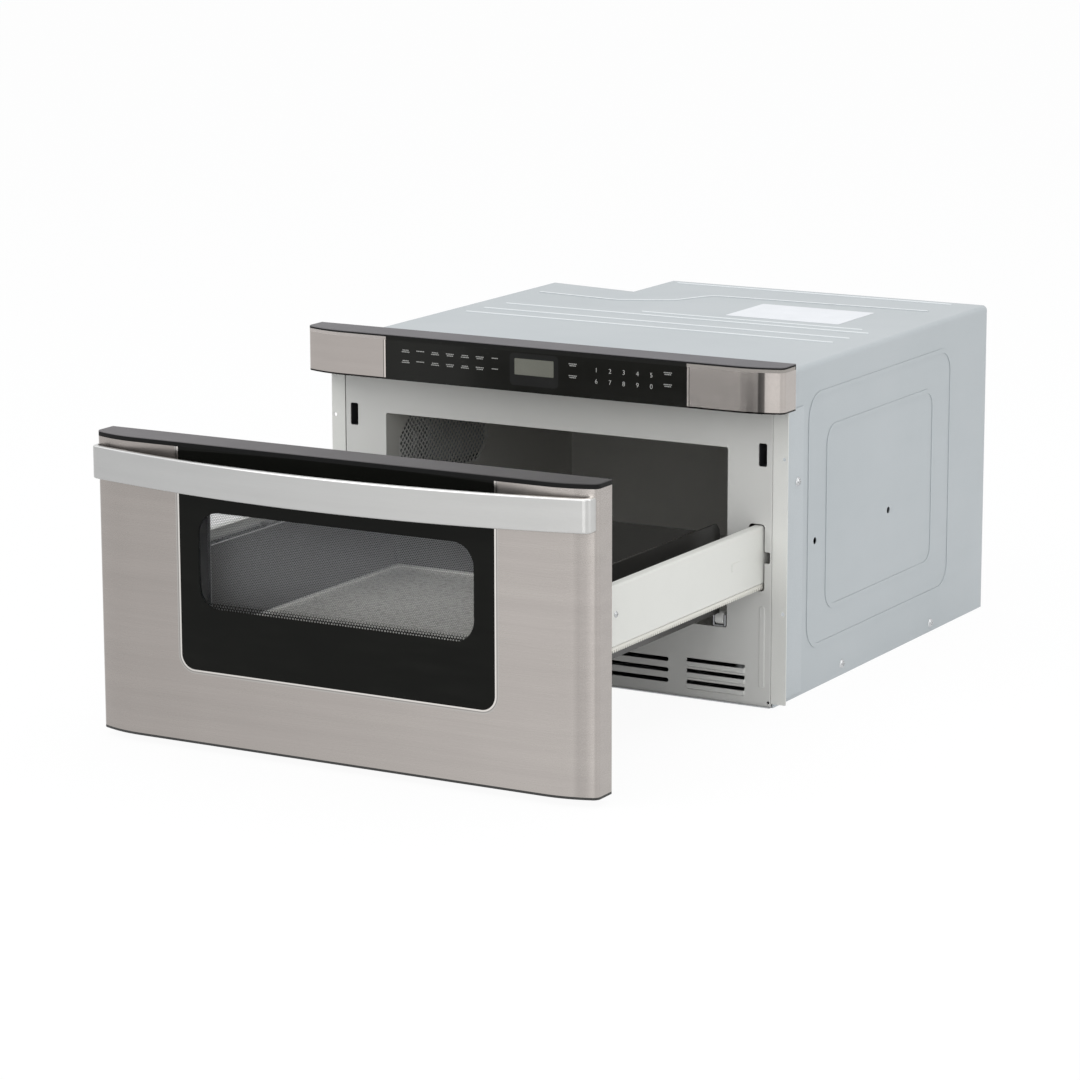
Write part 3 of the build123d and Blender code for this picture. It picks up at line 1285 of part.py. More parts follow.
with BuildPart() as choke_cover:
    wall_y((-choke_outer, choke_outer), choke_z, (door_back, door_back + choke_thickness), 8.0)
    wall_y((-choke_inner, choke_inner), choke_inner_z, (door_back - 1.0, door_back + choke_thickness + 1.0),
           4.0, Mode.SUBTRACT)
    fillet(choke_cover.faces().sort_by(Axis.Y)[-1].outer_wire().edges(), radius=1.2)
choke_cover.part.label = "choke_cover"
export_step(choke_cover.part, "parts/choke_cover.step")

with BuildPart() as door_top_cap:
    front_profile(skin_top, cap_height, door_back)
    fillet(door_top_cap.faces().sort_by(Axis.Z)[-1].edges(), radius=cap_fillet)
    front_profile(skin_top - 1.0, cap_height - 1.5, door_back, cap_wall, -cap_wall, Mode.SUBTRACT)
door_top_cap.part.label = "door_top_cap"
export_step(door_top_cap.part, "parts/door_top_cap.step")

with BuildPart() as door_bottom_cap:
    front_profile(door_bottom, foot_cap_height, door_back)
    with BuildSketch(Plane.XY.offset(door_bottom - 1.0)):
        with Locations(*[(slot_x, door_back - drain_inset) for slot_x in drain_x]):
            SlotOverall(*drain_size)
    extrude(amount=foot_cap_height + 2.0, mode=Mode.SUBTRACT)
door_bottom_cap.part.label = "door_bottom_cap"
export_step(door_bottom_cap.part, "parts/door_bottom_cap.step")

# ------------------------------------------------------------------ handle
with BuildPart() as handle_bar:
    handle_plan(0.0, handle_back)
    levels = handle_bar.edges().group_by(Axis.Z)
    fillet([e for e in levels[0] + levels[-1] if e.center().Y < handle_back - 1.0], radius=handle_round)
    handle_plan(handle_thickness, handle_back + 2.0, Mode.SUBTRACT)
    front_profile(handle_z[0] - 1.0, handle_z[1] - handle_z[0] + 2.0, door_back, mode=Mode.SUBTRACT)
handle_bar.part.label = "handle_bar"
export_step(handle_bar.part, "parts/handle_bar.step")

stop_z = (handle_z[0] + handle_stop_inset, handle_z[1] - handle_stop_inset)
with BuildPart() as handle_ends:
    wall_z(handle_stop_x, (handle_middle_y, handle_back), stop_z)
    with BuildSketch(Plane.XY.offset(stop_z[0] - 1.0)):
        with Locations((0, handle_centre_y)):
            Circle(handle_radius - handle_thickness)
    extrude(amount=stop_z[1] - stop_z[0] + 2.0, mode=Mode.INTERSECT)
    front_profile(stop_z[0] - 1.0, stop_z[1] - stop_z[0] + 2.0, door_back, mode=Mode.SUBTRACT)
    mirror(about=Plane.YZ)
handle_ends.part.label = "handle_ends"
export_step(handle_ends.part, "parts/handle_ends.step")

# ------------------------------------------------------------------ basket and ceramic tray
def basket_plan(half, rear, corner, z, mode=Mode.ADD):
    # plan of the basket, square at the drawer front and rounded at its rear corners
    with BuildSketch(Plane.XY.offset(z[0])) as plan:
        with Locations((0, (door_back + rear) / 2)):
            Rectangle(2 * half, rear - door_back)
        fillet(plan.vertices().group_by(Axis.Y)[-1], radius=corner)
    extrude(plan.sketch, amount=z[1] - z[0], mode=mode)


with BuildPart() as basket:
    basket_plan(basket_half_width, basket_rear, basket_corner, (basket_bottom, basket_top))
    basket_plan(basket_half_width - basket_wall, basket_rear - basket_wall, basket_corner - basket_wall,
                (basket_bottom + basket_wall, basket_top + 1.0), Mode.SUBTRACT)
    with BuildSketch(Plane.YZ.offset(-basket_half_width - 1.0)):
        with BuildLine():
            Polyline(
                (basket_rear - basket_cut_y, basket_top),
                (basket_rear, basket_top - basket_cut_z),
                (basket_rear + 5.0, basket_top - basket_cut_z),
                (basket_rear + 5.0, basket_top + 5.0),
                (basket_rear - basket_cut_y, basket_top + 5.0),
                close=True,
            )
        make_face()
    extrude(amount=2 * basket_half_width + 2.0, mode=Mode.SUBTRACT)
basket.part.label = "basket"
export_step(basket.part, "parts/basket.step")

tray_half = basket_half_width - basket_wall - tray_gap
tray_y = (door_back + tray_gap, basket_rear - basket_wall - tray_gap)
tray_z = basket_bottom + basket_wall
with BuildPart() as ceramic_tray:
    wall_z((-tray_half, tray_half), tray_y, (tray_z, tray_z + tray_rim), tray_corner[0])
    wall_z((-tray_half + tray_rim_width, tray_half - tray_rim_width),
           (tray_y[0] + tray_rim_width, tray_y[1] - tray_rim_width),
           (tray_z + tray_thickness, tray_z + tray_rim + 1.0), tray_corner[1], Mode.SUBTRACT)
    fillet(ceramic_tray.faces().sort_by(Axis.Z)[-1].edges(), radius=1.0)
ceramic_tray.part.label = "ceramic_tray"
export_step(ceramic_tray.part, "parts/ceramic_tray.step")

# ------------------------------------------------------------------ control panel
face_height = face_top - control_bottom
with BuildPart() as control_housing:
    front_profile(control_bottom, face_height, control_back, sheet, 0.0)
    front_profile(control_bottom + control_wall, face_height, control_back, sheet + control_wall,
                  -control_wall, Mode.SUBTRACT)
    wall_y((-control_glass_half - 8.0, control_glass_half + 8.0), (control_bottom, face_top),
           (ledge_y, ledge_y + control_wall))
    wall_y((-control_glass_half, control_glass_half), (control_bottom - 1.0, face_top + 1.0),
           (control_front - 1.0, ledge_y), 0.0, Mode.SUBTRACT)
    wall_y(display_x, display_z, (ledge_y - 1.0, ledge_y + 3.0), 1.0, Mode.SUBTRACT)
control_housing.part.label = "control_housing"
export_step(control_housing.part, "parts/control_housing.step")

with BuildPart() as control_ends:
    front_profile(control_bottom, face_height, control_back)
    front_profile(control_bottom - 1.0, face_height + 2.0, control_back, sheet, 5.0, Mode.SUBTRACT)
    wall_y((-control_glass_half - 0.6, control_glass_half + 0.6), (control_bottom - 1.0, face_top + 1.0),
           (control_front - 1.0, ledge_y), 0.0, Mode.SUBTRACT)
control_ends.part.label = "control_ends"
export_step(control_ends.part, "parts/control_ends.step")

with BuildPart() as control_glass:
    wall_y((-control_glass_half + fit_gap, control_glass_half - fit_gap), (control_bottom, face_top),
           (control_front, ledge_y))
    wall_y(display_x, display_z, (control_front - 1.0, ledge_y + 1.0), 1.0, Mode.SUBTRACT)
control_glass.part.label = "control_glass"
export_step(control_glass.part, "parts/control_glass.step")

with BuildPart() as display_window:
    wall_y((display_x[0] + fit_gap, display_x[1] - fit_gap),
           (display_z[0] + fit_gap, display_z[1] - fit_gap),
           (control_front + 0.2, display_rear), 0.9)
display_window.part.label = "display_window"
export_step(display_window.part, "parts/display_window.step")

with BuildPart() as control_board:
    wall_y((-key_board_half, key_board_half), (control_bottom + 5.0, face_top - 3.0),
           (display_rear, display_rear + board_thickness), 2.0)
    for post_x in key_board_posts:
        rod_y(2.5, (ledge_y + control_wall, display_rear + 1.0), post_x, control_bottom + 10.0)
    for chip_x in key_board_chips:
        wall_y((chip_x - 9.0, chip_x + 9.0), (control_bottom + 16.0, control_bottom + 34.0),
               (display_rear + 1.0, display_rear + board_thickness + 2.2))
control_board.part.label = "control_board"
export_step(control_board.part, "parts/control_board.step")

with BuildPart() as control_cap:
    front_profile(face_top, control_top - face_top, control_back)
    fillet(control_cap.faces().sort_by(Axis.Z)[-1].edges(), radius=cap_fillet)
    front_profile(face_top - 1.0, control_top - face_top - 1.0, control_back, cap_wall, -cap_wall,
                  Mode.SUBTRACT)
control_cap.part.label = "control_cap"
export_step(control_cap.part, "parts/control_cap.step")

with BuildPart() as control_bracket:
    folded_x(
        [
            (control_back, case_height - 2 * sheet),
            (0, case_height - 2 * sheet),
            (0, bracket_bottom),
            (control_back, bracket_bottom),
        ],
        1.6, sheet, Side.RIGHT, (-bracket_half_width, bracket_half_width),
    )
control_bracket.part.label = "control_bracket"
export_step(control_bracket.part, "parts/control_bracket.step")
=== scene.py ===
import math

import bmesh
import bpy
from mathutils import Matrix, Vector


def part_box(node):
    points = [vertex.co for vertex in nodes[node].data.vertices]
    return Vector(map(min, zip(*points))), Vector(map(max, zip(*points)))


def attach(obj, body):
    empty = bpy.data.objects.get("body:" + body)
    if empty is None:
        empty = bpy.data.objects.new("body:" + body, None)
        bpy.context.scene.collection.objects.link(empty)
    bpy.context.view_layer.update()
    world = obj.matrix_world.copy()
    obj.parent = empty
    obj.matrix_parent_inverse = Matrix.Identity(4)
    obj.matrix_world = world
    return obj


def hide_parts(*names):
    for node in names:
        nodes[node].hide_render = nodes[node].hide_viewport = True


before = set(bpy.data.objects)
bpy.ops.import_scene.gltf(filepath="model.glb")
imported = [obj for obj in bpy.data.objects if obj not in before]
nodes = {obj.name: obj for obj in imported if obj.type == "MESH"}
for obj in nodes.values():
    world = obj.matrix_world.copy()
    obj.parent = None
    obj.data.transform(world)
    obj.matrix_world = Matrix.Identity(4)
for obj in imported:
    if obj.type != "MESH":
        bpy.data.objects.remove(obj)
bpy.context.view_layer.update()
print("frame loaded:", len(nodes), "CAD nodes")

# camera, light and floor

shot = {
    "place": (2.1771, -3.8537, 1.1043),
    "turn": 29.655,      # degrees to the left of +Y
    "drop": 12.029,      # degrees below the horizon
    "roll": -0.131,
    "lens": 133.85,
    "sensor": 36.0,
    "near": 0.1,
    "far": 60.0,
}


def makeCamera():
    turn, drop, roll = (math.radians(shot[key]) for key in ("turn", "drop", "roll"))
    ahead = Vector((-math.sin(turn) * math.cos(drop), math.cos(turn) * math.cos(drop), -math.sin(drop)))
    level = Vector((math.cos(turn), math.sin(turn), 0))
    above = level.cross(ahead)
    right = math.cos(roll) * level + math.sin(roll) * above
    up = -math.sin(roll) * level + math.cos(roll) * above
    data = bpy.data.cameras.new("productCamera")
    data.lens = shot["lens"]
    data.sensor_width = shot["sensor"]
    data.clip_start = shot["near"]
    data.clip_end = shot["far"]
    camera = bpy.data.objects.new("productCamera", data)
    bpy.context.scene.collection.objects.link(camera)
    turned = Matrix((right, up, -ahead)).transposed().to_4x4()
    camera.matrix_world = Matrix.Translation(shot["place"]) @ turned
    bpy.context.scene.camera = camera


studio = {
    "ambient": 0.80,
    "ambientTint": (0.97, 0.985, 1.0),
    "lamps": [           # name, power, size and place
        ("keySoftbox", 46.0, 2.6, (-1.6, -2.6, 3.0)),
        ("topSoftbox", 25.0, 2.4, (0.6, 0.4, 3.2)),
        ("sideSoftbox", 14.0, 1.8, (3.2, 0.2, 1.4)),
        ("frontSoftbox", 22.0, 2.0, (1.5, -3.4, 1.2)),
    ],
    "aim": (0.0, 0.0, 0.2),
    "floorWhite": 0.9,
    "floorRough": 0.9,
    "floorGlow": 0.94,   # share of plain white in what the camera sees of the floor
    "floorRadius": 14.0,
}


def addMath(tree, operation, first, second=None, third=None, clamp=False):
    node = tree.nodes.new("ShaderNodeMath")
    node.operation = operation
    node.use_clamp = clamp
    for index, value in enumerate((first, second, third)):
        if value is None:
            continue
        if isinstance(value, (int, float)):
            node.inputs[index].default_value = value
        else:
            tree.links.new(value, node.inputs[index])
    return node.outputs[0]


def seenRays(tree):
    # 1 for rays that see the background: camera, glossy and transmission rays
    path = tree.nodes.new("ShaderNodeLightPath")
    direct = addMath(tree, "MAXIMUM", path.outputs["Is Camera Ray"], path.outputs["Is Glossy Ray"])
    return addMath(tree, "MAXIMUM", direct, path.outputs["Is Transmission Ray"])


def mixShaders(tree, share, first, second, out):
    mix = tree.nodes.new("ShaderNodeMixShader")
    tree.links.new(share, mix.inputs[0])
    tree.links.new(first.outputs[0], mix.inputs[1])
    tree.links.new(second.outputs[0], mix.inputs[2])
    tree.links.new(mix.outputs[0], out.inputs["Surface"])


def makeWorld():
    # plain white where it is seen, a soft cool light where it only lights
    world = bpy.data.worlds.new("paleStudio")
    bpy.context.scene.world = world
    world.use_nodes = True
    tree = world.node_tree
    tree.nodes.clear()
    seen = tree.nodes.new("ShaderNodeBackground")
    seen.inputs["Color"].default_value = (1, 1, 1, 1)
    seen.inputs["Strength"].default_value = 1.0
    light = tree.nodes.new("ShaderNodeBackground")
    light.inputs["Color"].default_value = studio["ambientTint"] + (1,)
    light.inputs["Strength"].default_value = studio["ambient"]
    mixShaders(tree, seenRays(tree), light, seen, tree.nodes.new("ShaderNodeOutputWorld"))


def makeLamp(name, power, size, place):
    data = bpy.data.lights.new(name, "AREA")
    data.shape = "SQUARE"
    data.energy = power
    data.size = size
    lamp = bpy.data.objects.new(name, data)
    bpy.context.scene.collection.objects.link(lamp)
    lamp.location = place
    lamp.rotation_euler = (Vector(studio["aim"]) - Vector(place)).to_track_quat("-Z", "Y").to_euler()


def makeFloor():
    mesh = bpy.data.meshes.new("paleFloor")
    bm = bmesh.new()
    bmesh.ops.create_circle(bm, cap_ends=True, segments=96, radius=studio["floorRadius"])
    bm.to_mesh(mesh)
    bm.free()
    floor = bpy.data.objects.new("paleFloor", mesh)
    bpy.context.scene.collection.objects.link(floor)
    paper = bpy.data.materials.new("floorPaper")
    paper.use_nodes = True
    tree = paper.node_tree
    shader = tree.nodes["Principled BSDF"]
    shader.inputs["Base Color"].default_value = (studio["floorWhite"],) * 3 + (1,)
    shader.inputs["Roughness"].default_value = studio["floorRough"]
    glow = tree.nodes.new("ShaderNodeEmission")
    glow.inputs["Strength"].default_value = 1.0
    share = addMath(tree, "MULTIPLY", seenRays(tree), studio["floorGlow"])
    mixShaders(tree, share, shader, glow, tree.nodes["Material Output"])
    mesh.materials.append(paper)


makeCamera()
bpy.context.scene.view_settings.view_transform = "Standard"
makeWorld()
for lamp in studio["lamps"]:
    makeLamp(*lamp)
makeFloor()
print("camera and studio made")

# shader groups shared by the finishes


def startGroup(name, inputs, outputs):
    # named inputs with their first values, and named outputs that are all plain values
    group = bpy.data.node_groups.new(name, "ShaderNodeTree")
    for label, value in inputs.items():
        kind = "NodeSocketVector" if isinstance(value, tuple) else "NodeSocketFloat"
        socket = group.interface.new_socket(name=label, in_out="INPUT", socket_type=kind)
        socket.default_value = value
    for label in outputs:
        group.interface.new_socket(name=label, in_out="OUTPUT", socket_type="NodeSocketFloat")
    given = group.nodes.new("NodeGroupInput").outputs
    made = group.nodes.new("NodeGroupOutput").inputs
    return group, given, made


def objectPoint(tree, scale=(1, 1, 1), turn=(0, 0, 0)):
    # Object coordinates, which are the part's own metres
    place = tree.nodes.new("ShaderNodeTexCoord")
    fit = tree.nodes.new("ShaderNodeMapping")
    fit.inputs["Scale"].default_value = scale
    fit.inputs["Rotation"].default_value = turn
    tree.links.new(place.outputs["Object"], fit.inputs["Vector"])
    return fit.outputs["Vector"]


def pointParts(tree):
    # X, Y and Z of the point
    parts = tree.nodes.new("ShaderNodeSeparateXYZ")
    tree.links.new(objectPoint(tree), parts.inputs[0])
    return parts.outputs


def addNoise(tree, vector, scale, detail, roughness=0.5):
    noise = tree.nodes.new("ShaderNodeTexNoise")
    noise.inputs["Detail"].default_value = detail
    noise.inputs["Roughness"].default_value = roughness
    if isinstance(scale, (int, float)):
        noise.inputs["Scale"].default_value = scale
    else:
        tree.links.new(scale, noise.inputs["Scale"])
    tree.links.new(vector, noise.inputs["Vector"])
    return noise.outputs["Fac"]


def spread(tree, value, low, high):
    # stretches the part of a value between two levels to 0 and 1
    node = tree.nodes.new("ShaderNodeMapRange")
    node.inputs["From Min"].default_value = low
    node.inputs["From Max"].default_value = high
    tree.links.new(value, node.inputs["Value"])
    return node.outputs[0]


def groupFineGrain():
    # moulded, enamelled or painted surface: a fine orange peel and a slow change of tone
    group, given, made = startGroup("fineGrain", {"Scale": 900.0, "Patch Scale": 7.0}, ["Grain", "Patch"])
    point = objectPoint(group)
    grain = addNoise(group, point, given["Scale"], 3.0, 0.55)
    patch = addNoise(group, point, given["Patch Scale"], 4.0, 0.6)
    group.links.new(spread(group, grain, 0.3, 0.7), made["Grain"])
    group.links.new(spread(group, patch, 0.28, 0.72), made["Patch"])


def groupBrushLines():
    # long fine brush strokes along X, with broader soft bands between them
    group, given, made = startGroup("brushLines", {"Scale": 1.0}, ["Lines", "Bands"])
    fine = addNoise(group, objectPoint(group, (9, 700, 2600)), given["Scale"], 5.0, 0.7)
    broad = addNoise(group, objectPoint(group, (1.2, 22, 70)), given["Scale"], 3.0, 0.6)
    group.links.new(spread(group, fine, 0.3, 0.7), made["Lines"])
    group.links.new(spread(group, broad, 0.3, 0.7), made["Bands"])


def groupSideLightFade():
    # a painted fade of light and shade, 0 at the left end and 1 at the right end, with broad soft bands
    # of painted reflection as a studio leaves on brushed steel
    group, given, made = startGroup("sideLightFade", {"Half Width": 0.3, "Band Share": 0.35}, ["Fade"])
    across = addMath(group, "DIVIDE", pointParts(group)["X"], given["Half Width"])
    fade = addMath(group, "MULTIPLY_ADD", across, 0.5, 0.5, clamp=True)
    band = addNoise(group, objectPoint(group, (7.5, 0.0, 0.6)), 1.0, 2.0, 0.5)
    change = addMath(group, "MULTIPLY", addMath(group, "SUBTRACT", band, 0.5), given["Band Share"])
    group.links.new(addMath(group, "ADD", fade, change, clamp=True), made["Fade"])


def groupSmudges():
    # faint finger marks and wiped dust, for roughness
    group, given, made = startGroup("smudges", {"Scale": 11.0}, ["Smudge"])
    cloud = addNoise(group, objectPoint(group), given["Scale"], 6.0, 0.62)
    streaks = objectPoint(group, (1.0, 1.0, 7.0), (0.3, 0.1, 0.5))
    wipe = addNoise(group, streaks, given["Scale"], 3.0)
    both = addMath(group, "MULTIPLY", spread(group, cloud, 0.35, 0.75), spread(group, wipe, 0.3, 0.7))
    group.links.new(both, made["Smudge"])


def groupRoundWindow():
    # 1 inside a rectangle with rounded corners in X and Z, 0 outside
    sizes = {"Middle X": 0.0, "Half Width": 0.167, "Middle Z": 0.208, "Half Height": 0.052,
             "Corner": 0.025, "Soft Edge": 0.0006}
    group, given, made = startGroup("roundWindow", sizes, ["Inside"])
    parts = pointParts(group)
    overs = []       # how far past the straight stretch, along X and along Z
    squares = []
    for axis, middle, half in (("X", "Middle X", "Half Width"), ("Z", "Middle Z", "Half Height")):
        away = addMath(group, "ABSOLUTE", addMath(group, "SUBTRACT", parts[axis], given[middle]))
        straight = addMath(group, "SUBTRACT", given[half], given["Corner"])
        over = addMath(group, "SUBTRACT", away, straight)
        outward = addMath(group, "MAXIMUM", over, 0.0)
        overs.append(over)
        squares.append(addMath(group, "MULTIPLY", outward, outward))
    length = addMath(group, "SQRT", addMath(group, "ADD", *squares))
    deep = addMath(group, "MINIMUM", addMath(group, "MAXIMUM", *overs), 0.0)
    distance = addMath(group, "SUBTRACT", addMath(group, "ADD", length, deep), given["Corner"])
    soft = addMath(group, "DIVIDE", distance, given["Soft Edge"])
    group.links.new(addMath(group, "SUBTRACT", 0.5, soft, clamp=True), made["Inside"])


def groupDotRows():
    # staggered round dots in X and Z with one row centred on the base level, 1 inside a dot
    group, given, made = startGroup("dotRows", {"Pitch": 0.003, "Radius": 0.001, "Base": 0.0}, ["Dot"])
    parts = pointParts(group)
    rise = addMath(group, "SUBTRACT", parts["Z"], given["Base"])
    rowStretch = 1.732     # two rows of a hexagonal pattern, in pitches
    cellStart = 100.5      # a dot's middle lies half a cell in; the whole cells keep the count above zero
    distances = []
    for shift in (0.0, 0.5):
        squares = []
        for value, stretch in ((parts["X"], 1.0), (rise, rowStretch)):
            unit = addMath(group, "DIVIDE", value, addMath(group, "MULTIPLY", given["Pitch"], stretch))
            cell = addMath(group, "FRACT", addMath(group, "ADD", unit, cellStart + shift))
            offset = addMath(group, "MULTIPLY", addMath(group, "SUBTRACT", cell, 0.5), stretch)
            squares.append(addMath(group, "MULTIPLY", offset, offset))
        apart = addMath(group, "SQRT", addMath(group, "ADD", *squares))
        distances.append(addMath(group, "MULTIPLY", apart, given["Pitch"]))
    nearest = addMath(group, "MINIMUM", *distances)
    group.links.new(addMath(group, "LESS_THAN", nearest, given["Radius"]), made["Dot"])


def groupSpeckle():
    # glazed stoneware: small darker flecks over a pale body
    group, given, made = startGroup("speckle", {"Scale": 420.0, "Amount": 0.5}, ["Fleck"])
    fleckReach = 0.42      # from a cell's middle
    fleckGain = 2.6
    cells = group.nodes.new("ShaderNodeTexVoronoi")
    cells.inputs["Randomness"].default_value = 1.0
    group.links.new(objectPoint(group), cells.inputs["Vector"])
    group.links.new(given["Scale"], cells.inputs["Scale"])
    noise = addNoise(group, objectPoint(group), 900.0, 2.0)
    near = addMath(group, "SUBTRACT", fleckReach, cells.outputs["Distance"], clamp=True)
    strong = addMath(group, "MULTIPLY", near, fleckGain)
    fleck = addMath(group, "MULTIPLY", strong, spread(group, noise, 0.35, 0.6))
    group.links.new(addMath(group, "MULTIPLY", fleck, given["Amount"], clamp=True), made["Fleck"])


def groupPlaneSplit():
    # how far a point is past a level along an axis, and 1 where it is past it
    group, given, made = startGroup("planeSplit", {"Axis": (0.0, 0.0, 1.0), "Level": 0.33},
                                    ["Past", "Distance"])
    along = group.nodes.new("ShaderNodeVectorMath")
    along.operation = "DOT_PRODUCT"
    group.links.new(objectPoint(group), along.inputs[0])
    group.links.new(given["Axis"], along.inputs[1])
    distance = addMath(group, "SUBTRACT", along.outputs["Value"], given["Level"])
    group.links.new(addMath(group, "GREATER_THAN", distance, 0.0), made["Past"])
    group.links.new(distance, made["Distance"])


def groupSideBand():
    # 1 in an upright band at one distance from the middle, on both sides or mostly on the right
    sizes = {"Centre": 0.28, "Half Width": 0.004, "Soft Edge": 0.003, "Left Share": 1.0}
    group, given, made = startGroup("sideBand", sizes, ["Band"])
    across = pointParts(group)["X"]
    away = addMath(group, "SUBTRACT", addMath(group, "ABSOLUTE", across), given["Centre"])
    beyond = addMath(group, "SUBTRACT", addMath(group, "ABSOLUTE", away), given["Half Width"])
    soft = addMath(group, "DIVIDE", beyond, given["Soft Edge"])
    band = addMath(group, "SUBTRACT", 1.0, soft, clamp=True)
    side = addMath(group, "MAXIMUM", addMath(group, "GREATER_THAN", across, 0.0), given["Left Share"])
    group.links.new(addMath(group, "MULTIPLY", band, side), made["Band"])


for makeGroup in (groupFineGrain, groupBrushLines, groupSideLightFade, groupSmudges, groupRoundWindow,
                  groupDotRows, groupSpeckle, groupPlaneSplit, groupSideBand):
    makeGroup()
print("shader groups made:", len(bpy.data.node_groups))

# finishes


def useGroup(tree, name, **values):
    node = tree.nodes.new("ShaderNodeGroup")
    node.node_tree = bpy.data.node_groups[name]
    for label, value in values.items():
        node.inputs[label.replace("_", " ")].default_value = value
    return node


def groupMask(tree, name, **values):
    # the first output of a shared group
    return useGroup(tree, name, **values).outputs[0]


def mixColours(tree, mask, first, second):
    node = tree.nodes.new("ShaderNodeMix")
    node.data_type = "RGBA"
    tree.links.new(mask, node.inputs["Factor"])
    for socket, value in ((node.inputs[6], first), (node.inputs[7], second)):
        if isinstance(value, tuple):
            socket.default_value = value + (1,)
        else:
            tree.links.new(value, socket)
    return node.outputs[2]


def mixValues(tree, mask, first, second):
    node = tree.nodes.new("ShaderNodeMapRange")
    node.inputs["To Min"].default_value = first
    node.inputs["To Max"].default_value = second
    tree.links.new(mask, node.inputs["Value"])
    return node.outputs[0]


def weigh(tree, first, second, share):
    # the first value by its share, the second by what is left
    return addMath(tree, "ADD", addMath(tree, "MULTIPLY", first, share),
                   addMath(tree, "MULTIPLY", second, 1.0 - share))


def gainWhere(tree, shade, mask, gain):
    # the shade, raised by the gain where the mask is 1
    return addMath(tree, "MULTIPLY", shade, addMath(tree, "MULTIPLY_ADD", mask, gain, 1.0))


def scaleColour(tree, colour, factor):
    node = tree.nodes.new("ShaderNodeVectorMath")
    node.operation = "SCALE"
    tree.links.new(colour, node.inputs[0])
    tree.links.new(factor, node.inputs["Scale"])
    return node.outputs[0]


def startMaterial(name, metallic=0.0, coat=0.0, coatRoughness=0.1, specular=0.5):
    material = bpy.data.materials.new(name)
    material.use_nodes = True
    shader = material.node_tree.nodes["Principled BSDF"]
    shader.inputs["Specular IOR Level"].default_value = specular
    shader.inputs["Metallic"].default_value = metallic
    shader.inputs["Coat Weight"].default_value = coat
    shader.inputs["Coat Roughness"].default_value = coatRoughness
    return material, material.node_tree, shader


def setColour(tree, shader, colour):
    tree.links.new(colour, shader.inputs["Base Color"])


def setRoughness(tree, shader, mask, rough):
    tree.links.new(mixValues(tree, mask, *rough), shader.inputs["Roughness"])


def setAlpha(tree, shader, mask, solid, clear):
    tree.links.new(mixValues(tree, mask, solid, clear), shader.inputs["Alpha"])


def addBump(tree, shader, height, distance, strength):
    bump = tree.nodes.new("ShaderNodeBump")
    bump.inputs["Distance"].default_value = distance
    bump.inputs["Strength"].default_value = strength
    tree.links.new(height, bump.inputs["Height"])
    tree.links.new(bump.outputs["Normal"], shader.inputs["Normal"])


def grainFinish(name, dark, light, rough, metallic=0.0, grain=900.0, patch=7.0, bump=0.00002,
                strength=0.3, coat=0.0, raised=None):
    # painted, enamelled or moulded surface: tone, gloss and orange peel from the same grain
    material, tree, shader = startMaterial(name, metallic, coat)
    texture = useGroup(tree, "fineGrain", Scale=grain, Patch_Scale=patch).outputs
    body = mixColours(tree, weigh(tree, texture["Grain"], texture["Patch"], 0.35), dark, light)
    # painted highlight: a lighter colour above a level, where raised ridges catch the light
    if raised:
        ridgeHighlight = groupMask(tree, "planeSplit", Level=raised["level"])
        body = mixColours(tree, ridgeHighlight, body, raised["colour"])
    setColour(tree, shader, body)
    setRoughness(tree, shader, groupMask(tree, "smudges", Scale=patch * 1.7), rough)
    addBump(tree, shader, texture["Grain"], bump, strength)
    return material


brushing = {"stretch": 0.7, "turn": 0.25, "depth": 0.000006, "strength": 0.25}


def brushedFinish(name, left, right, rough, share=0.07, bands=(), ring=None, edges=()):
    # brushed metal: strokes along X in tone, gloss and height, over a painted fade of light and shade
    # from end to end
    material, tree, shader = startMaterial(name, metallic=1.0)
    shader.inputs["Anisotropic"].default_value = brushing["stretch"]
    shader.inputs["Anisotropic Rotation"].default_value = brushing["turn"]
    strokes = useGroup(tree, "brushLines", Scale=1.0).outputs
    smudge = groupMask(tree, "smudges", Scale=9.0)
    body = mixColours(tree, groupMask(tree, "sideLightFade"), left, right)
    stroke = weigh(tree, strokes["Lines"], strokes["Bands"], 0.5)
    shade = mixValues(tree, stroke, 1.0 - share, 1.0 + share)
    # bands of painted reflection, highlight and shade
    for centre, halfWidth, soft, gain, leftShare in bands:
        band = groupMask(tree, "sideBand", Centre=centre, Half_Width=halfWidth, Soft_Edge=soft,
                         Left_Share=leftShare)
        shade = gainWhere(tree, shade, band, gain)
    # a painted highlight next to the glass and painted shade just outside it, in rings round the glass
    if ring:
        for reach, gain in ring["steps"]:
            inside = groupMask(tree, "roundWindow", Half_Width=ring["half"] + reach,
                               Middle_Z=ring["middle"], Half_Height=ring["rise"] + reach,
                               Corner=ring["corner"] + reach)
            shade = gainWhere(tree, shade, inside, gain)
    # painted highlight or painted shade above or below a level
    for way, level, gain in edges:
        edge = groupMask(tree, "planeSplit", Axis=(0, 0, way), Level=way * level)
        shade = gainWhere(tree, shade, edge, gain)
    setColour(tree, shader, scaleColour(tree, body, shade))
    setRoughness(tree, shader, weigh(tree, strokes["Lines"], smudge, 0.6), rough)
    addBump(tree, shader, strokes["Lines"], brushing["depth"], brushing["strength"])
    return material


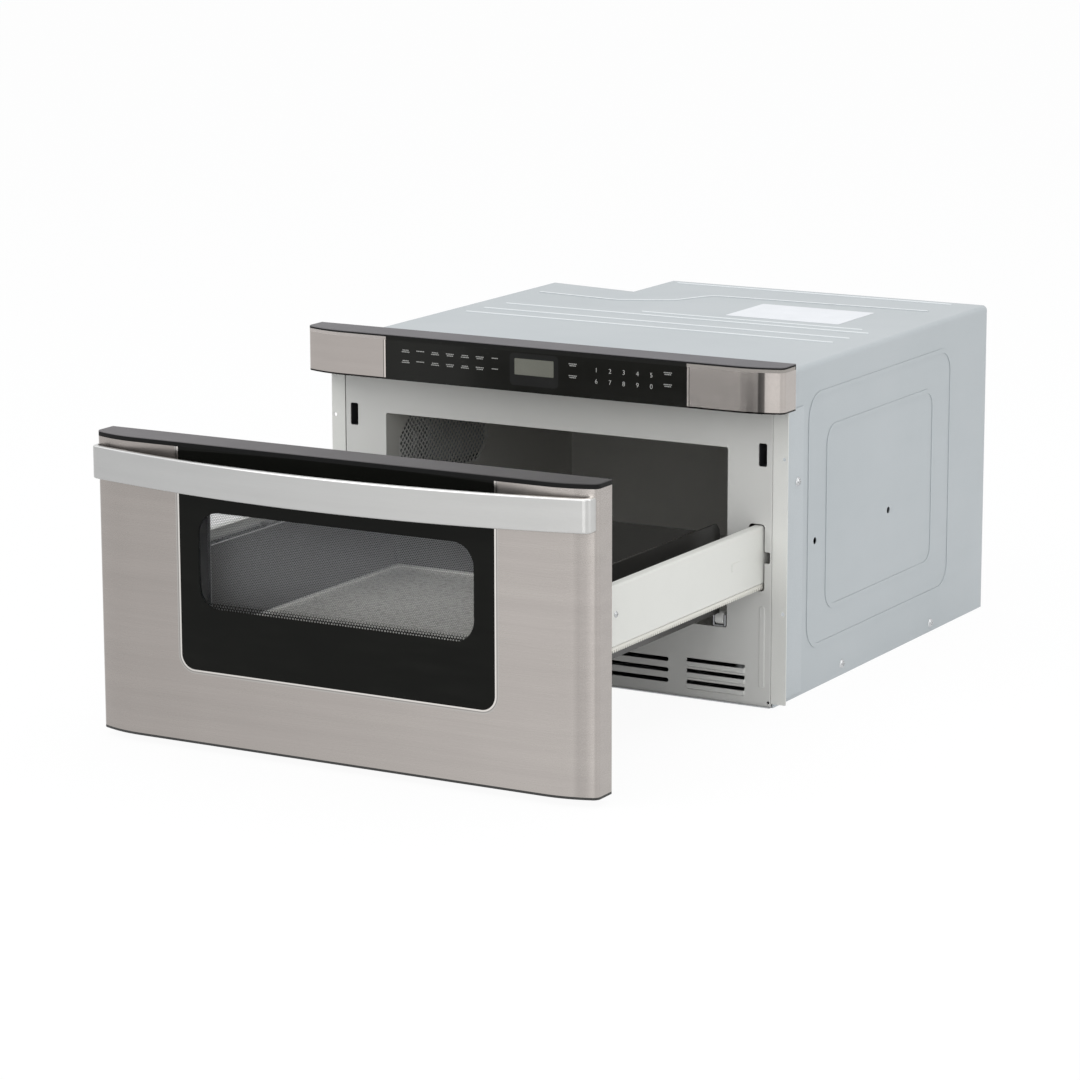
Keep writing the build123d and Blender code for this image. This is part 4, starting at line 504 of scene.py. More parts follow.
def splitFinish(name, axis, level, near, farLeft, farRight, rough, specular, skirt=None):
    # two paints that meet at a level: one near it, one past it with a painted fade of light and shade
    # from the left end to the right
    material, tree, shader = startMaterial(name, specular=specular)
    texture = useGroup(tree, "fineGrain", Scale=1500.0, Patch_Scale=16.0).outputs
    split = groupMask(tree, "planeSplit", Axis=axis, Level=level)
    fade = groupMask(tree, "sideLightFade", Band_Share=0.2)
    far = mixColours(tree, fade, farLeft, farRight)
    # the skirt's steel ends take a painted fade of light and shade from left to right
    if skirt:
        lower = groupMask(tree, "planeSplit", Axis=(0, 0, -1), Level=-skirt["level"])
        front = groupMask(tree, "planeSplit", Axis=(0, -1, 0), Level=-skirt["back"])
        middle = groupMask(tree, "sideBand", Centre=0.0, Half_Width=skirt["half"],
                           Soft_Edge=skirt["soft"], Left_Share=1.0)
        across = mixColours(tree, middle, mixColours(tree, fade, *skirt["ends"]), skirt["middle"])
        near = mixColours(tree, addMath(tree, "MULTIPLY", lower, front), near, across)
    body = mixColours(tree, split, near, far)
    setColour(tree, shader, scaleColour(tree, body, mixValues(tree, texture["Grain"], 0.93, 1.05)))
    setRoughness(tree, shader, texture["Patch"], rough)
    addBump(tree, shader, texture["Grain"], 0.00002, 0.3)
    return material


glassLow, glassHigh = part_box("door_glass")
doorWindow = {
    "sideMargin": 0.024,      # black print beside the window
    "bottomMargin": 0.0672,   # and below it
    "height": 0.104,
    "corner": 0.025,
    "black": ((0.005, 0.0052, 0.0044), (0.008, 0.0082, 0.007)),
    "rough": (0.05, 0.13),
    "seeThrough": 0.03,
    "dotPitch": 0.0034,
    "dotStart": 0.0010,       # radius of the lowest row of clear dots
    "dotGrowth": 0.095,       # and its growth with height, until the dots run together
    "firstRow": 0.0016,
    "backMargin": 0.008,      # the back face is clear this far beyond the print
}
windowHalf = glassHigh.x - doorWindow["sideMargin"]
windowLow = glassLow.z + doorWindow["bottomMargin"]
windowMiddle = windowLow + doorWindow["height"] / 2


def windowGlass(name):
    # black glass, its print on the front face and broken up into clear dots at the window's lower edge
    material, tree, shader = startMaterial(name, specular=0.08)
    smudge = groupMask(tree, "smudges", Scale=12.0)
    halfHeight = doorWindow["height"] / 2
    corner = doorWindow["corner"]
    clear = groupMask(tree, "roundWindow", Half_Width=windowHalf, Middle_Z=windowMiddle,
                      Half_Height=halfHeight, Corner=corner)
    firstRow = windowLow + doorWindow["firstRow"]
    rise = useGroup(tree, "planeSplit", Level=firstRow).outputs["Distance"]
    dots = useGroup(tree, "dotRows", Pitch=doorWindow["dotPitch"], Base=firstRow)
    radius = addMath(tree, "MULTIPLY_ADD", rise, doorWindow["dotGrowth"], doorWindow["dotStart"])
    tree.links.new(radius, dots.inputs["Radius"])
    frontClear = addMath(tree, "MULTIPLY", clear, dots.outputs["Dot"])
    behind = groupMask(tree, "planeSplit", Axis=(0, 1, 0), Level=(glassLow.y + glassHigh.y) / 2)
    margin = doorWindow["backMargin"]
    wide = groupMask(tree, "roundWindow", Half_Width=windowHalf + margin, Middle_Z=windowMiddle,
                     Half_Height=halfHeight + margin, Corner=corner + margin)
    backClear = addMath(tree, "MULTIPLY", behind, wide)
    setColour(tree, shader, mixColours(tree, smudge, *doorWindow["black"]))
    setRoughness(tree, shader, smudge, doorWindow["rough"])
    setAlpha(tree, shader, addMath(tree, "MAXIMUM", frontClear, backClear), 1.0, doorWindow["seeThrough"])
    return material


paneGlass = {"tint": (0.25, 0.255, 0.26), "smudgeGain": 1.1, "rough": (0.04, 0.12), "alpha": (0.03, 0.05)}


def clearGlass(name):
    # the inner pane, nearly clear
    material, tree, shader = startMaterial(name, specular=0.2)
    smudge = groupMask(tree, "smudges", Scale=14.0)
    tint = paneGlass["tint"]
    marked = tuple(part * paneGlass["smudgeGain"] for part in tint)
    setColour(tree, shader, mixColours(tree, smudge, tint, marked))
    setRoughness(tree, shader, smudge, paneGlass["rough"])
    setAlpha(tree, shader, smudge, *paneGlass["alpha"])
    return material


meshLow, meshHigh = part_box("door_screen")
screenSheet = {
    "pitch": 0.0021,
    "radius": 0.00082,
    "corner": 0.006,
    # the grey is partly the sheet's own and partly painted reflection, the veil that the door glass lays
    # over it
    "greyAndReflectionVeil": ((0.205, 0.208, 0.213), (0.240, 0.243, 0.248)),
    "rough": (0.5, 0.6),
}


def meshSheet(name):
    # grey metal sheet, its fine round holes clear dots in the front face, its back face left out; its
    # light grey also stands in for the veil of reflections on the door glass, as painted reflection
    material, tree, shader = startMaterial(name, specular=0.2)
    dots = groupMask(tree, "dotRows", Pitch=screenSheet["pitch"], Radius=screenSheet["radius"])
    texture = useGroup(tree, "fineGrain", Scale=1200.0, Patch_Scale=9.0).outputs
    behind = groupMask(tree, "planeSplit", Axis=(0, 1, 0), Level=(meshLow.y + meshHigh.y) / 2)
    setColour(tree, shader, mixColours(tree, texture["Grain"], *screenSheet["greyAndReflectionVeil"]))
    setRoughness(tree, shader, texture["Patch"], screenSheet["rough"])
    setAlpha(tree, shader, addMath(tree, "MAXIMUM", dots, behind), 1.0, 0.0)
    return material


stoneware = {
    "rim": 0.0018,            # height of the lighter rim below the top of the tray
    "body": ((0.50, 0.49, 0.45), (0.60, 0.59, 0.55)),
    "rimHighlight": (0.80, 0.79, 0.75),
    "fleck": (0.19, 0.18, 0.16),
    "rough": (0.22, 0.36),
    "coat": 0.5,
    "coatRough": 0.12,
}


def glazedTray(name):
    material, tree, shader = startMaterial(name, coat=stoneware["coat"],
                                           coatRoughness=stoneware["coatRough"])
    flecks = groupMask(tree, "speckle", Scale=430.0, Amount=0.75)
    texture = useGroup(tree, "fineGrain", Scale=260.0, Patch_Scale=9.0).outputs
    # a painted highlight along the tray's rim: a lighter colour above a level near the top
    rim = groupMask(tree, "planeSplit", Level=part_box("ceramic_tray")[1].z - stoneware["rim"])
    body = mixColours(tree, texture["Patch"], *stoneware["body"])
    withRimHighlight = mixColours(tree, rim, body, stoneware["rimHighlight"])
    setColour(tree, shader, mixColours(tree, flecks, withRimHighlight, stoneware["fleck"]))
    setRoughness(tree, shader, texture["Grain"], stoneware["rough"])
    addBump(tree, shader, texture["Grain"], 0.00006, 0.25)
    return material


displayLow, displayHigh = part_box("display_window")
keyGlass = {
    "side": 0.006,            # the printed field reaches this far beside the display
    "above": 0.006,           # and above it
    "below": 0.012,           # and below it
    "corner": 0.005,
    "field": (0.0195, 0.0195, 0.0190),
    "black": ((0.0095, 0.0095, 0.0082), (0.0125, 0.0125, 0.0110)),
    "rough": (0.12, 0.22),
}


def panelGlass(name):
    # black key glass with a slightly lighter printed field round the display
    material, tree, shader = startMaterial(name, specular=0.15)
    texture = useGroup(tree, "fineGrain", Scale=900.0, Patch_Scale=9.0).outputs
    smudge = groupMask(tree, "smudges", Scale=15.0)
    low = displayLow.z - keyGlass["below"]
    high = displayHigh.z + keyGlass["above"]
    field = groupMask(tree, "roundWindow", Middle_X=(displayLow.x + displayHigh.x) / 2,
                      Half_Width=(displayHigh.x - displayLow.x) / 2 + keyGlass["side"],
                      Middle_Z=(low + high) / 2, Half_Height=(high - low) / 2, Corner=keyGlass["corner"])
    body = mixColours(tree, texture["Patch"], *keyGlass["black"])
    setColour(tree, shader, mixColours(tree, field, body, keyGlass["field"]))
    setRoughness(tree, shader, smudge, keyGlass["rough"])
    addBump(tree, shader, texture["Grain"], 0.000004, 0.2)
    return material


panelLow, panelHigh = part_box("control_glass")
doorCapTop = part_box("door_top_cap")[1].z
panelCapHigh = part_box("control_cap")[1]
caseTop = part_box("outer_case")[1].z
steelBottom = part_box("control_ends")[0].z
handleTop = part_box("handle_bar")[1].z
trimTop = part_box("glass_trim")[1].z
capLip = 0.0009     # height of the black lip at the top of both caps

# painted reflections, highlights and shade in bands on the brushed ends: distance from the middle, half
# width, soft edge, gain, share on the left side
panelPaintedReflections = [
    (panelHigh.x + 0.0012, 0.0012, 0.0004, 0.60, 1.0),
    (panelHigh.x + 0.0032, 0.0004, 0.0004, -0.50, 1.0),
    (0.2340, 0.0380, 0.0060, 0.42, 0.0),
    (0.2665, 0.0080, 0.0030, -0.14, 0.0),
    (0.2800, 0.0028, 0.0016, -0.74, 0.0),
]
skinPaintedReflections = [
    (0.2880, 0.0035, 0.0060, -0.16, 0.0),
    (0.3025, 0.0015, 0.0015, -0.09, 0.0),
]
# painted highlight next to the glass and painted shade just outside it, on the trim's bead: half of what
# the trim's outline reaches above the glass, so the painted highlight runs round three sides
trimOver = 0.05
trimPaintedHighlight = {
    "half": glassHigh.x + 0.0002,
    "middle": (glassLow.z + trimTop) / 2 + trimOver,
    "rise": (trimTop - glassLow.z) / 2 + trimOver,
    "corner": 0.016,
    "steps": [(0.0030, -0.35), (0.0019, 1.5)],     # reach beyond the glass and gain
}
# painted highlights and painted shade along edges: 1 above or -1 below a level, the level, gain
panelFootShade = (-1, steelBottom + 0.0019, -0.95)
handleEdgeHighlight = (1, handleTop - 0.0010, 0.45)
# the pressed ridges in the top of the case catch the light
caseRidges = {"level": caseTop - 0.0004, "colour": (0.66, 0.69, 0.70)}
# below its black lip the panel's cap carries on the black glass and the steel ends, the ends with a
# painted fade of light and shade from the left end to the right
capSkirt = {
    "level": panelCapHigh.z - 0.0028,
    "back": panelCapHigh.y - 0.0015,
    "half": panelHigh.x,
    "soft": 0.0003,
    "middle": (0.013, 0.013, 0.012),
    "ends": ((0.44, 0.405, 0.385), (0.29, 0.27, 0.25)),
}

# what the smooth paints and the rolled metals share
smoothPaint = dict(bump=0.00001, strength=0.25)
rolledMetal = dict(bump=0.00001, strength=0.2)
# painted, enamelled, moulded and plain metal finishes
grainCoats = {
    "caseCoat": dict(dark=(0.392, 0.424, 0.440), light=(0.438, 0.467, 0.482), rough=(0.42, 0.55),
        metallic=0.15, grain=1400.0, patch=4.0, raised=caseRidges, **smoothPaint),
    "zincSheet": dict(dark=(0.36, 0.37, 0.385), light=(0.47, 0.48, 0.49), rough=(0.33, 0.5),
        metallic=0.85, grain=260.0, patch=14.0, **rolledMetal),
    "platePaint": dict(dark=(0.525, 0.523, 0.503), light=(0.568, 0.566, 0.546), rough=(0.36, 0.5),
        grain=1300.0, patch=5.0, **smoothPaint),
    "displayLens": dict(dark=(0.140, 0.142, 0.118), light=(0.172, 0.173, 0.148), rough=(0.2, 0.3),
        grain=700.0, patch=30.0, bump=0.000004, strength=0.2, coat=0.3),
    "bezelBlack": dict(dark=(0.020, 0.021, 0.022), light=(0.028, 0.029, 0.030), rough=(0.45, 0.6)),
    "legendPrint": dict(dark=(0.34, 0.34, 0.325), light=(0.40, 0.40, 0.385), rough=(0.4, 0.5)),
    "digitPrint": dict(dark=(0.50, 0.50, 0.48), light=(0.58, 0.58, 0.56), rough=(0.4, 0.5)),
    "stickerPaper": dict(dark=(0.66, 0.675, 0.70), light=(0.72, 0.735, 0.76), rough=(0.5, 0.65),
        patch=30.0),
    "blackPlastic": dict(dark=(0.012, 0.012, 0.012), light=(0.022, 0.022, 0.021), rough=(0.45, 0.6)),
    "cavityEnamel": dict(dark=(0.44, 0.435, 0.41), light=(0.50, 0.495, 0.47), rough=(0.35, 0.5),
        grain=700.0, patch=6.0, coat=0.1),
    "screenEnamel": dict(dark=(0.52, 0.52, 0.50), light=(0.60, 0.60, 0.58), rough=(0.35, 0.5)),
    "basketEnamel": dict(dark=(0.014, 0.0135, 0.012), light=(0.022, 0.021, 0.019), rough=(0.3, 0.45),
        grain=800.0, patch=8.0, coat=0.25),
    "micaSheet": dict(dark=(0.40, 0.37, 0.31), light=(0.52, 0.49, 0.42), rough=(0.5, 0.7), grain=160.0,
        patch=20.0),
    "panelPaint": dict(dark=(0.60, 0.60, 0.565), light=(0.655, 0.655, 0.62), rough=(0.34, 0.5),
        grain=1200.0, patch=5.0, **smoothPaint),
    "railZinc": dict(dark=(0.44, 0.45, 0.46), light=(0.60, 0.61, 0.62), rough=(0.22, 0.4), metallic=1.0,
        grain=300.0, patch=18.0, **rolledMetal),
    "gearAcetal": dict(dark=(0.60, 0.585, 0.53), light=(0.68, 0.665, 0.61), rough=(0.35, 0.5)),
    "rollerNylon": dict(dark=(0.66, 0.66, 0.64), light=(0.76, 0.76, 0.74), rough=(0.3, 0.42)),
    "latchNylon": dict(dark=(0.025, 0.025, 0.027), light=(0.04, 0.04, 0.043), rough=(0.4, 0.55)),
    "motorPlate": dict(dark=(0.34, 0.35, 0.36), light=(0.45, 0.46, 0.47), rough=(0.3, 0.5),
        metallic=0.9, grain=220.0, patch=22.0),
    "guideAluminium": dict(dark=(0.58, 0.59, 0.60), light=(0.68, 0.69, 0.70), rough=(0.28, 0.42),
        metallic=1.0, grain=240.0, patch=16.0, **rolledMetal),
    "coreLamination": dict(dark=(0.07, 0.05, 0.035), light=(0.14, 0.10, 0.07), rough=(0.35, 0.6),
        metallic=0.3, grain=500.0, patch=26.0),
    "boardGreen": dict(dark=(0.03, 0.12, 0.055), light=(0.05, 0.17, 0.08), rough=(0.25, 0.4),
        grain=600.0, patch=40.0),
    "fanMoulding": dict(dark=(0.05, 0.05, 0.052), light=(0.08, 0.08, 0.083), rough=(0.4, 0.55)),
}
# the left and right tones of each brushed metal are a painted fade of light and shade from one end to the
# other
brushedSteels = {
    "stainlessFront": dict(left=(0.345, 0.318, 0.300), right=(0.460, 0.428, 0.405), rough=(0.22, 0.32),
        bands=skinPaintedReflections),
    "stainlessPanel": dict(left=(0.400, 0.368, 0.348), right=(0.455, 0.422, 0.398), rough=(0.18, 0.28),
        share=0.05, bands=panelPaintedReflections, edges=[panelFootShade]),
    "handleSatin": dict(left=(0.455, 0.457, 0.455), right=(0.555, 0.555, 0.545), rough=(0.28, 0.40),
        share=0.05, edges=[handleEdgeHighlight]),
    "brightTrim": dict(left=(0.40, 0.385, 0.37), right=(0.47, 0.45, 0.43), rough=(0.14, 0.22),
        share=0.04, ring=trimPaintedHighlight),
}
splitPaints = {
    # the caps' tops darken from the left end to the right as painted shade
    "doorCap": dict(axis=(0, 0, 1), level=doorCapTop - capLip, near=(0.010, 0.010, 0.010),
        farLeft=(0.150, 0.143, 0.147), farRight=(0.062, 0.060, 0.060), rough=(0.5, 0.62),
        specular=0.08),
    "panelCap": dict(axis=(0, 0, 1), level=panelCapHigh.z - capLip, near=(0.012, 0.012, 0.012),
        farLeft=(0.150, 0.145, 0.150), farRight=(0.140, 0.136, 0.142), rough=(0.5, 0.62), specular=0.08,
        skirt=capSkirt),
    # the front face is lighter than the plate's own paint as painted light; the leg takes the case's
    # paint
    "flangePaint": dict(axis=(0, 1, 0), level=0.0013, near=(0.640, 0.640, 0.612),
        farLeft=(0.430, 0.460, 0.476), farRight=(0.430, 0.460, 0.476), rough=(0.4, 0.52), specular=0.5),
}

finishes = {name: grainFinish(name, **values) for name, values in grainCoats.items()}
finishes.update({name: brushedFinish(name, **values) for name, values in brushedSteels.items()})
finishes.update({name: splitFinish(name, **values) for name, values in splitPaints.items()})
finishes["windowGlass"] = windowGlass("windowGlass")
finishes["panelGlass"] = panelGlass("panelGlass")
finishes["innerGlass"] = clearGlass("innerGlass")
finishes["meshSheet"] = meshSheet("meshSheet")
finishes["trayGlaze"] = glazedTray("trayGlaze")

nodeFinish = {
    "caseCoat": ["outer_case"],
    "zincSheet": ["base_plate", "rear_panel", "cavity_lamp", "rail_brackets", "roller_brackets",
                  "control_bracket", "door_frame"],
    "platePaint": ["front_plate"],
    "flangePaint": ["mounting_flanges"],
    "stainlessFront": ["door_skin"],
    "stainlessPanel": ["control_ends"],
    "handleSatin": ["handle_bar", "handle_ends"],
    "brightTrim": ["glass_trim"],
    "windowGlass": ["door_glass"],
    "panelGlass": ["control_glass"],
    "innerGlass": ["inner_glass"],
    "displayLens": ["display_window"],
    "blackPlastic": ["cord_gland", "control_housing", "door_bottom_cap", "window_bezel", "choke_cover"],
    "doorCap": ["door_top_cap"],
    "panelCap": ["control_cap"],
    "cavityEnamel": ["cavity_liner"],
    "screenEnamel": ["vent_screen"],
    "meshSheet": ["door_screen"],
    "basketEnamel": ["basket"],
    "trayGlaze": ["ceramic_tray"],
    "micaSheet": ["stirrer_cover"],
    "panelPaint": ["side_panel_left", "side_panel_right"],
    "railZinc": ["outer_rails", "middle_rail_left", "middle_rail_right", "inner_rails"],
    "gearAcetal": ["drive_rack", "drive_pinion"],
    "rollerNylon": ["roller_left", "roller_right", "switch_button_left", "switch_button_right"],
    "latchNylon": ["latch_hooks", "latch_housings"],
    "motorPlate": ["magnetron", "fan_motor", "stirrer_motor", "drive_motor"],
    "guideAluminium": ["waveguide", "capacitor", "stirrer"],
    "coreLamination": ["transformer"],
    "boardGreen": ["control_board", "power_board"],
    "fanMoulding": ["fan_blade", "fan_shroud"],
}

for finish, members in nodeFinish.items():
    for member in members:
        nodes[member].data.materials.clear()
        nodes[member].data.materials.append(finishes[finish])
print("finishes given to", sum(len(members) for members in nodeFinish.values()), "CAD nodes")

# pieces


def dressMesh(name, mesh, material, body):
    # a piece from a finished mesh, at the origin, painted and riding on a body
    mesh.materials.append(finishes[material])
    piece = bpy.data.objects.new(name, mesh)
    bpy.context.scene.collection.objects.link(piece)
    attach(piece, body)
    return piece


def makePiece(name, bm, material, body, smooth=False):
    # a piece from a finished bmesh
    mesh = bpy.data.meshes.new(name)
    bm.to_mesh(mesh)
    bm.free()
    for face in mesh.polygons:
        face.use_smooth = smooth
    return dressMesh(name, mesh, material, body)


def cutAway(bm, point, outward):
    # takes off what lies past a plane
    bmesh.ops.bisect_plane(bm, geom=bm.verts[:] + bm.edges[:] + bm.faces[:], plane_co=point,
                           plane_no=outward, clear_outer=True)


def roundedBlock(low, high, axis, radius, segments):
    # a block between two corners, its edges along one axis rounded
    bm = bmesh.new()
    bmesh.ops.create_cube(bm, size=1.0)
    bmesh.ops.scale(bm, vec=high - low, verts=bm.verts)
    bmesh.ops.translate(bm, vec=(low + high) / 2, verts=bm.verts)
    along = []
    for edge in bm.edges:
        way = (edge.verts[0].co - edge.verts[1].co).normalized()
        if round(abs(way[axis])) == 1:
            along.append(edge)
    bmesh.ops.bevel(bm, geom=along, offset=radius, segments=segments, profile=0.5, affect="EDGES",
                    material=-1)
    return bm


ventLow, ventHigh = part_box("vent_screen")
ventPatch = {
    "corner": 0.026,      # cut corners of the sheet
    "sheet": 0.0008,
    "pitch": 0.0058,
    "web": 0.0011,        # metal kept on each side of a hole
    "border": 0.006,      # plain edge of the sheet
    "room": 0.004,        # least distance of a hole's middle from that edge
    "cells": 44,
}


def eightSided(y, z, low, high, left, right, corner):
    # distance of a point inside an eight-sided outline
    side = min(y - left, right - y)
    rise = min(z - low, high - z)
    return min(side, rise, (side + rise - corner) / math.sqrt(2))


def makeVentPatch():
    # perforated sheet in the left wall, square holes standing on their corners
    border = ventPatch["border"]
    left = ventLow.y + border
    right = ventHigh.y - border
    low = ventLow.z + border
    high = ventHigh.z - border
    corner = ventPatch["corner"]
    cells = ventPatch["cells"]
    bm = bmesh.new()
    bmesh.ops.create_grid(bm, x_segments=cells, y_segments=cells, size=cells * ventPatch["pitch"] / 2)
    upright = Matrix.Rotation(math.radians(90), 4, "Y") @ Matrix.Rotation(math.radians(45), 4, "Z")
    toWall = Matrix.Translation((0, (left + right) / 2, (low + high) / 2)) @ upright
    bmesh.ops.transform(bm, matrix=toWall, verts=bm.verts)
    outside = []
    holes = []
    for face in bm.faces:
        centre = face.calc_center_median()
        room = eightSided(centre.y, centre.z, low, high, left, right, corner)
        if room > ventPatch["room"]:
            holes.append(face)
        elif room < -2 * border:
            outside.append(face)
    bmesh.ops.delete(bm, geom=outside, context="FACES")
    bmesh.ops.inset_individual(bm, faces=holes, thickness=ventPatch["web"])
    bmesh.ops.delete(bm, geom=holes, context="FACES")
    for way, y in ((-1, ventLow.y), (1, ventHigh.y)):
        cutAway(bm, (0, y, 0), (0, way, 0))
    for way, z in ((-1, ventLow.z), (1, ventHigh.z)):
        cutAway(bm, (0, 0, z), (0, 0, way))
    for wayY, y in ((-1, ventLow.y), (1, ventHigh.y)):
        for wayZ, z in ((-1, ventLow.z), (1, ventHigh.z)):
            cutAway(bm, (0, y - wayY * corner, z), (0, wayY, wayZ))
    bmesh.ops.recalc_face_normals(bm, faces=bm.faces)
    bmesh.ops.solidify(bm, geom=bm.faces[:], thickness=ventPatch["sheet"])
    bmesh.ops.translate(bm, vec=((ventLow.x + ventHigh.x) / 2, 0, 0), verts=bm.verts)
    bmesh.ops.recalc_face_normals(bm, faces=bm.faces)
    piece = makePiece("ventPatch", bm, "screenEnamel", "cabinet")
    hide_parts("vent_screen")


def makeDoorMesh():
    # fine perforated sheet behind the window
    sheet = roundedBlock(meshLow, meshHigh, 1, screenSheet["corner"], 4)
    piece = makePiece("doorMesh", sheet, "meshSheet", "drawer")
    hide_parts("door_screen")


makeVentPatch()
makeDoorMesh()
print("screens made")

bezelLow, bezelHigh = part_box("window_bezel")
frameLow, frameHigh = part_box("door_frame")
# the opening behind the door glass, wider than the printed window so that the screen shows to its edges
doorOpening = {
    "gap": 0.0001,            # between the glass and the bezel
    "side": 0.005,            # the screen's edge that stays covered, on both sides
    "foot": 0.006,            # below
    "head": 0.008,            # and above
    "corner": 0.006,
    "bezelOver": 0.001,       # the bezel starts this far outside the printed window
    "bezelCorner": 0.004,
    "frameCorner": 0.002,
    "thick": 0.0012,
    "segments": 8,
}
openingHalf = meshHigh.x - doorOpening["side"]
openingLow = meshLow.z + doorOpening["foot"]
openingHigh = meshHigh.z - doorOpening["head"]


def addOutline(bm, half, low, high, corner, y):
    # closed wire of a rounded rectangle in X and Z, with as many points whatever its size
    outline = bmesh.new()
    bmesh.ops.create_grid(outline, x_segments=1, y_segments=1, size=1.0)
    bmesh.ops.scale(outline, vec=(half, (high - low) / 2, 1), verts=outline.verts)
    bmesh.ops.bevel(outline, geom=outline.verts[:], offset=corner, segments=doorOpening["segments"],
                    profile=0.5, affect="VERTICES", material=-1)
    bmesh.ops.delete(outline, geom=outline.faces[:], context="FACES_ONLY")
    toFront = Matrix.Translation((0, y, (low + high) / 2)) @ Matrix.Rotation(math.radians(90), 4, "X")
    bmesh.ops.transform(outline, matrix=toFront, verts=outline.verts)
    mesh = bpy.data.meshes.new("outline")
    outline.to_mesh(mesh)
    outline.free()
    known = len(bm.edges)
    bm.from_mesh(mesh)
    bpy.data.meshes.remove(mesh)
    bm.edges.ensure_lookup_table()
    return bm.edges[known:]


def makeFunnel(name, outlines, material, node):
    # thin sheet through a row of rounded outlines, each with its half width, bottom, top, corner and Y
    bm = bmesh.new()
    loops = [addOutline(bm, *outline) for outline in outlines]
    for index, step in enumerate(zip(outlines, outlines[1:])):
        rims = loops[index] + loops[index + 1]
        if step[0][-1] == step[1][-1]:
            bmesh.ops.triangle_fill(bm, use_beauty=True, edges=rims)    # both in one plane
        else:
            bmesh.ops.bridge_loops(bm, edges=rims)
    bmesh.ops.recalc_face_normals(bm, faces=bm.faces)
    bmesh.ops.solidify(bm, geom=bm.faces[:], thickness=doorOpening["thick"])
    bmesh.ops.recalc_face_normals(bm, faces=bm.faces)
    piece = makePiece(name, bm, material, "drawer")
    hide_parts(node)


def makeDoorInside():
    behindGlass = glassHigh.y + doorOpening["gap"]
    over = doorOpening["bezelOver"]
    opening = (openingHalf, openingLow, openingHigh, doorOpening["corner"])
    window = (windowHalf + over, windowLow - over, windowLow + doorWindow["height"] + over,
              doorWindow["corner"])
    makeFunnel("windowBezel", [
        (bezelHigh.x, bezelLow.z, bezelHigh.z, doorOpening["bezelCorner"], behindGlass),
        (*window, behindGlass),
        (*opening, bezelHigh.y - doorOpening["thick"]),
    ], "bezelBlack", "window_bezel")
    border = (frameHigh.x, frameLow.z, frameHigh.z, doorOpening["frameCorner"])
    makeFunnel("doorInnerFrame", [
        (*border, frameLow.y),
        (*border, frameHigh.y),
        (*opening, frameHigh.y),
    ], "zincSheet", "door_frame")


makeDoorInside()
print("door opening made")

keyPanel = {
    "printGap": 0.0001,               # the print's middle lies this far before the glass
    "printThick": 0.0001,
    "digits": ["1", "2", "3", "4", "5", "6", "7", "8", "9", "0"],
    "digitRow": 5,
    "digitX": (0.0799, 0.0171),       # first and step
    "digitZ": (0.0130, 0.0256),       # rows below the top of the glass
    "digitSize": 0.0074,
    "digitThin": -0.00010,
    "legendColumns": 7,
    "legendX": (-0.1654, 0.0194),     # first and step
    "legendZ": (0.0110, 0.0230),      # rows below the top of the glass
    "legendWidth": (0.0105, 0.0078),
    "legendLine": 0.0010,
    "singleColumns": (1, 6),          # columns with one line at each key
    "dash": (0.0016, 0.0005),         # length of a dash and the gap after it
    "sideX": (0.0503, 0.1686),        # columns beside the digits
    "sideLift": (0.0016, 0.0004),     # their rows stand this much above the others
}
printY = panelLow.y - keyPanel["printGap"]


def addBar(bm, x, z, width):
    # a printed line on the key panel, broken into short dashes
    dash, gap = keyPanel["dash"]
    thick = keyPanel["printThick"]
    line = keyPanel["legendLine"]
    count = max(1, round(width / (dash + gap)))
    for index in range(count):
        made = bmesh.ops.create_cube(bm, size=1.0)
        middle = x + (index - (count - 1) / 2) * (dash + gap)
        bmesh.ops.scale(bm, vec=(dash, thick, line), verts=made["verts"])
        bmesh.ops.translate(bm, vec=(middle, printY, z), verts=made["verts"])


def makeLegends():
    # one or two short printed lines at each function key
    bm = bmesh.new()
    line = keyPanel["legendLine"]
    wide, narrow = keyPanel["legendWidth"]
    rows = [panelHigh.z - drop for drop in keyPanel["legendZ"]]
    for column in range(keyPanel["legendColumns"]):
        x = keyPanel["legendX"][0] + column * keyPanel["legendX"][1]
        for z in rows:
            addBar(bm, x, z + line, wide if column % 2 else narrow)
            if column not in keyPanel["singleColumns"]:
                addBar(bm, x, z - line, narrow if column % 2 else wide)
    for x in keyPanel["sideX"]:
        for row, lift in zip(rows, keyPanel["sideLift"]):
            addBar(bm, x, row + lift + line, wide)
            addBar(bm, x, row + lift - line, narrow)
    piece = makePiece("keyLegends", bm, "legendPrint", "cabinet")


def makeDigits():
    for index, digit in enumerate(keyPanel["digits"]):
        name = "keyDigit" + digit
        curve = bpy.data.curves.new(name, "FONT")
        curve.body = digit
        curve.size = keyPanel["digitSize"]
        curve.align_x = "CENTER"
        curve.align_y = "CENTER"
        curve.extrude = keyPanel["printThick"] / 2
        curve.offset = keyPanel["digitThin"]
        curve.resolution_u = 6
        drawn = bpy.data.objects.new("drawnDigit", curve)
        bpy.context.scene.collection.objects.link(drawn)
        bpy.context.view_layer.update()
        mesh = bpy.data.meshes.new_from_object(drawn.evaluated_get(bpy.context.evaluated_depsgraph_get()))
        bpy.data.objects.remove(drawn)
        bpy.data.curves.remove(curve)
        row, column = divmod(index, keyPanel["digitRow"])
        x = keyPanel["digitX"][0] + column * keyPanel["digitX"][1]
        z = panelHigh.z - keyPanel["digitZ"][row]
        upright = Matrix.Rotation(math.radians(90), 4, "X")
        mesh.transform(Matrix.Translation((x, printY, z)) @ upright)
        mesh.name = name
        piece = dressMesh(name, mesh, "digitPrint", "cabinet")


makeLegends()
makeDigits()
print("key panel printed")

topLabel = {
    "x": (0.036, 0.184),
    "y": (0.352, 0.453),
    "under": 0.00075,         # its underside lies this far below the top of the pressed ridges
    "thick": 0.0002,
    "corner": 0.002,
}


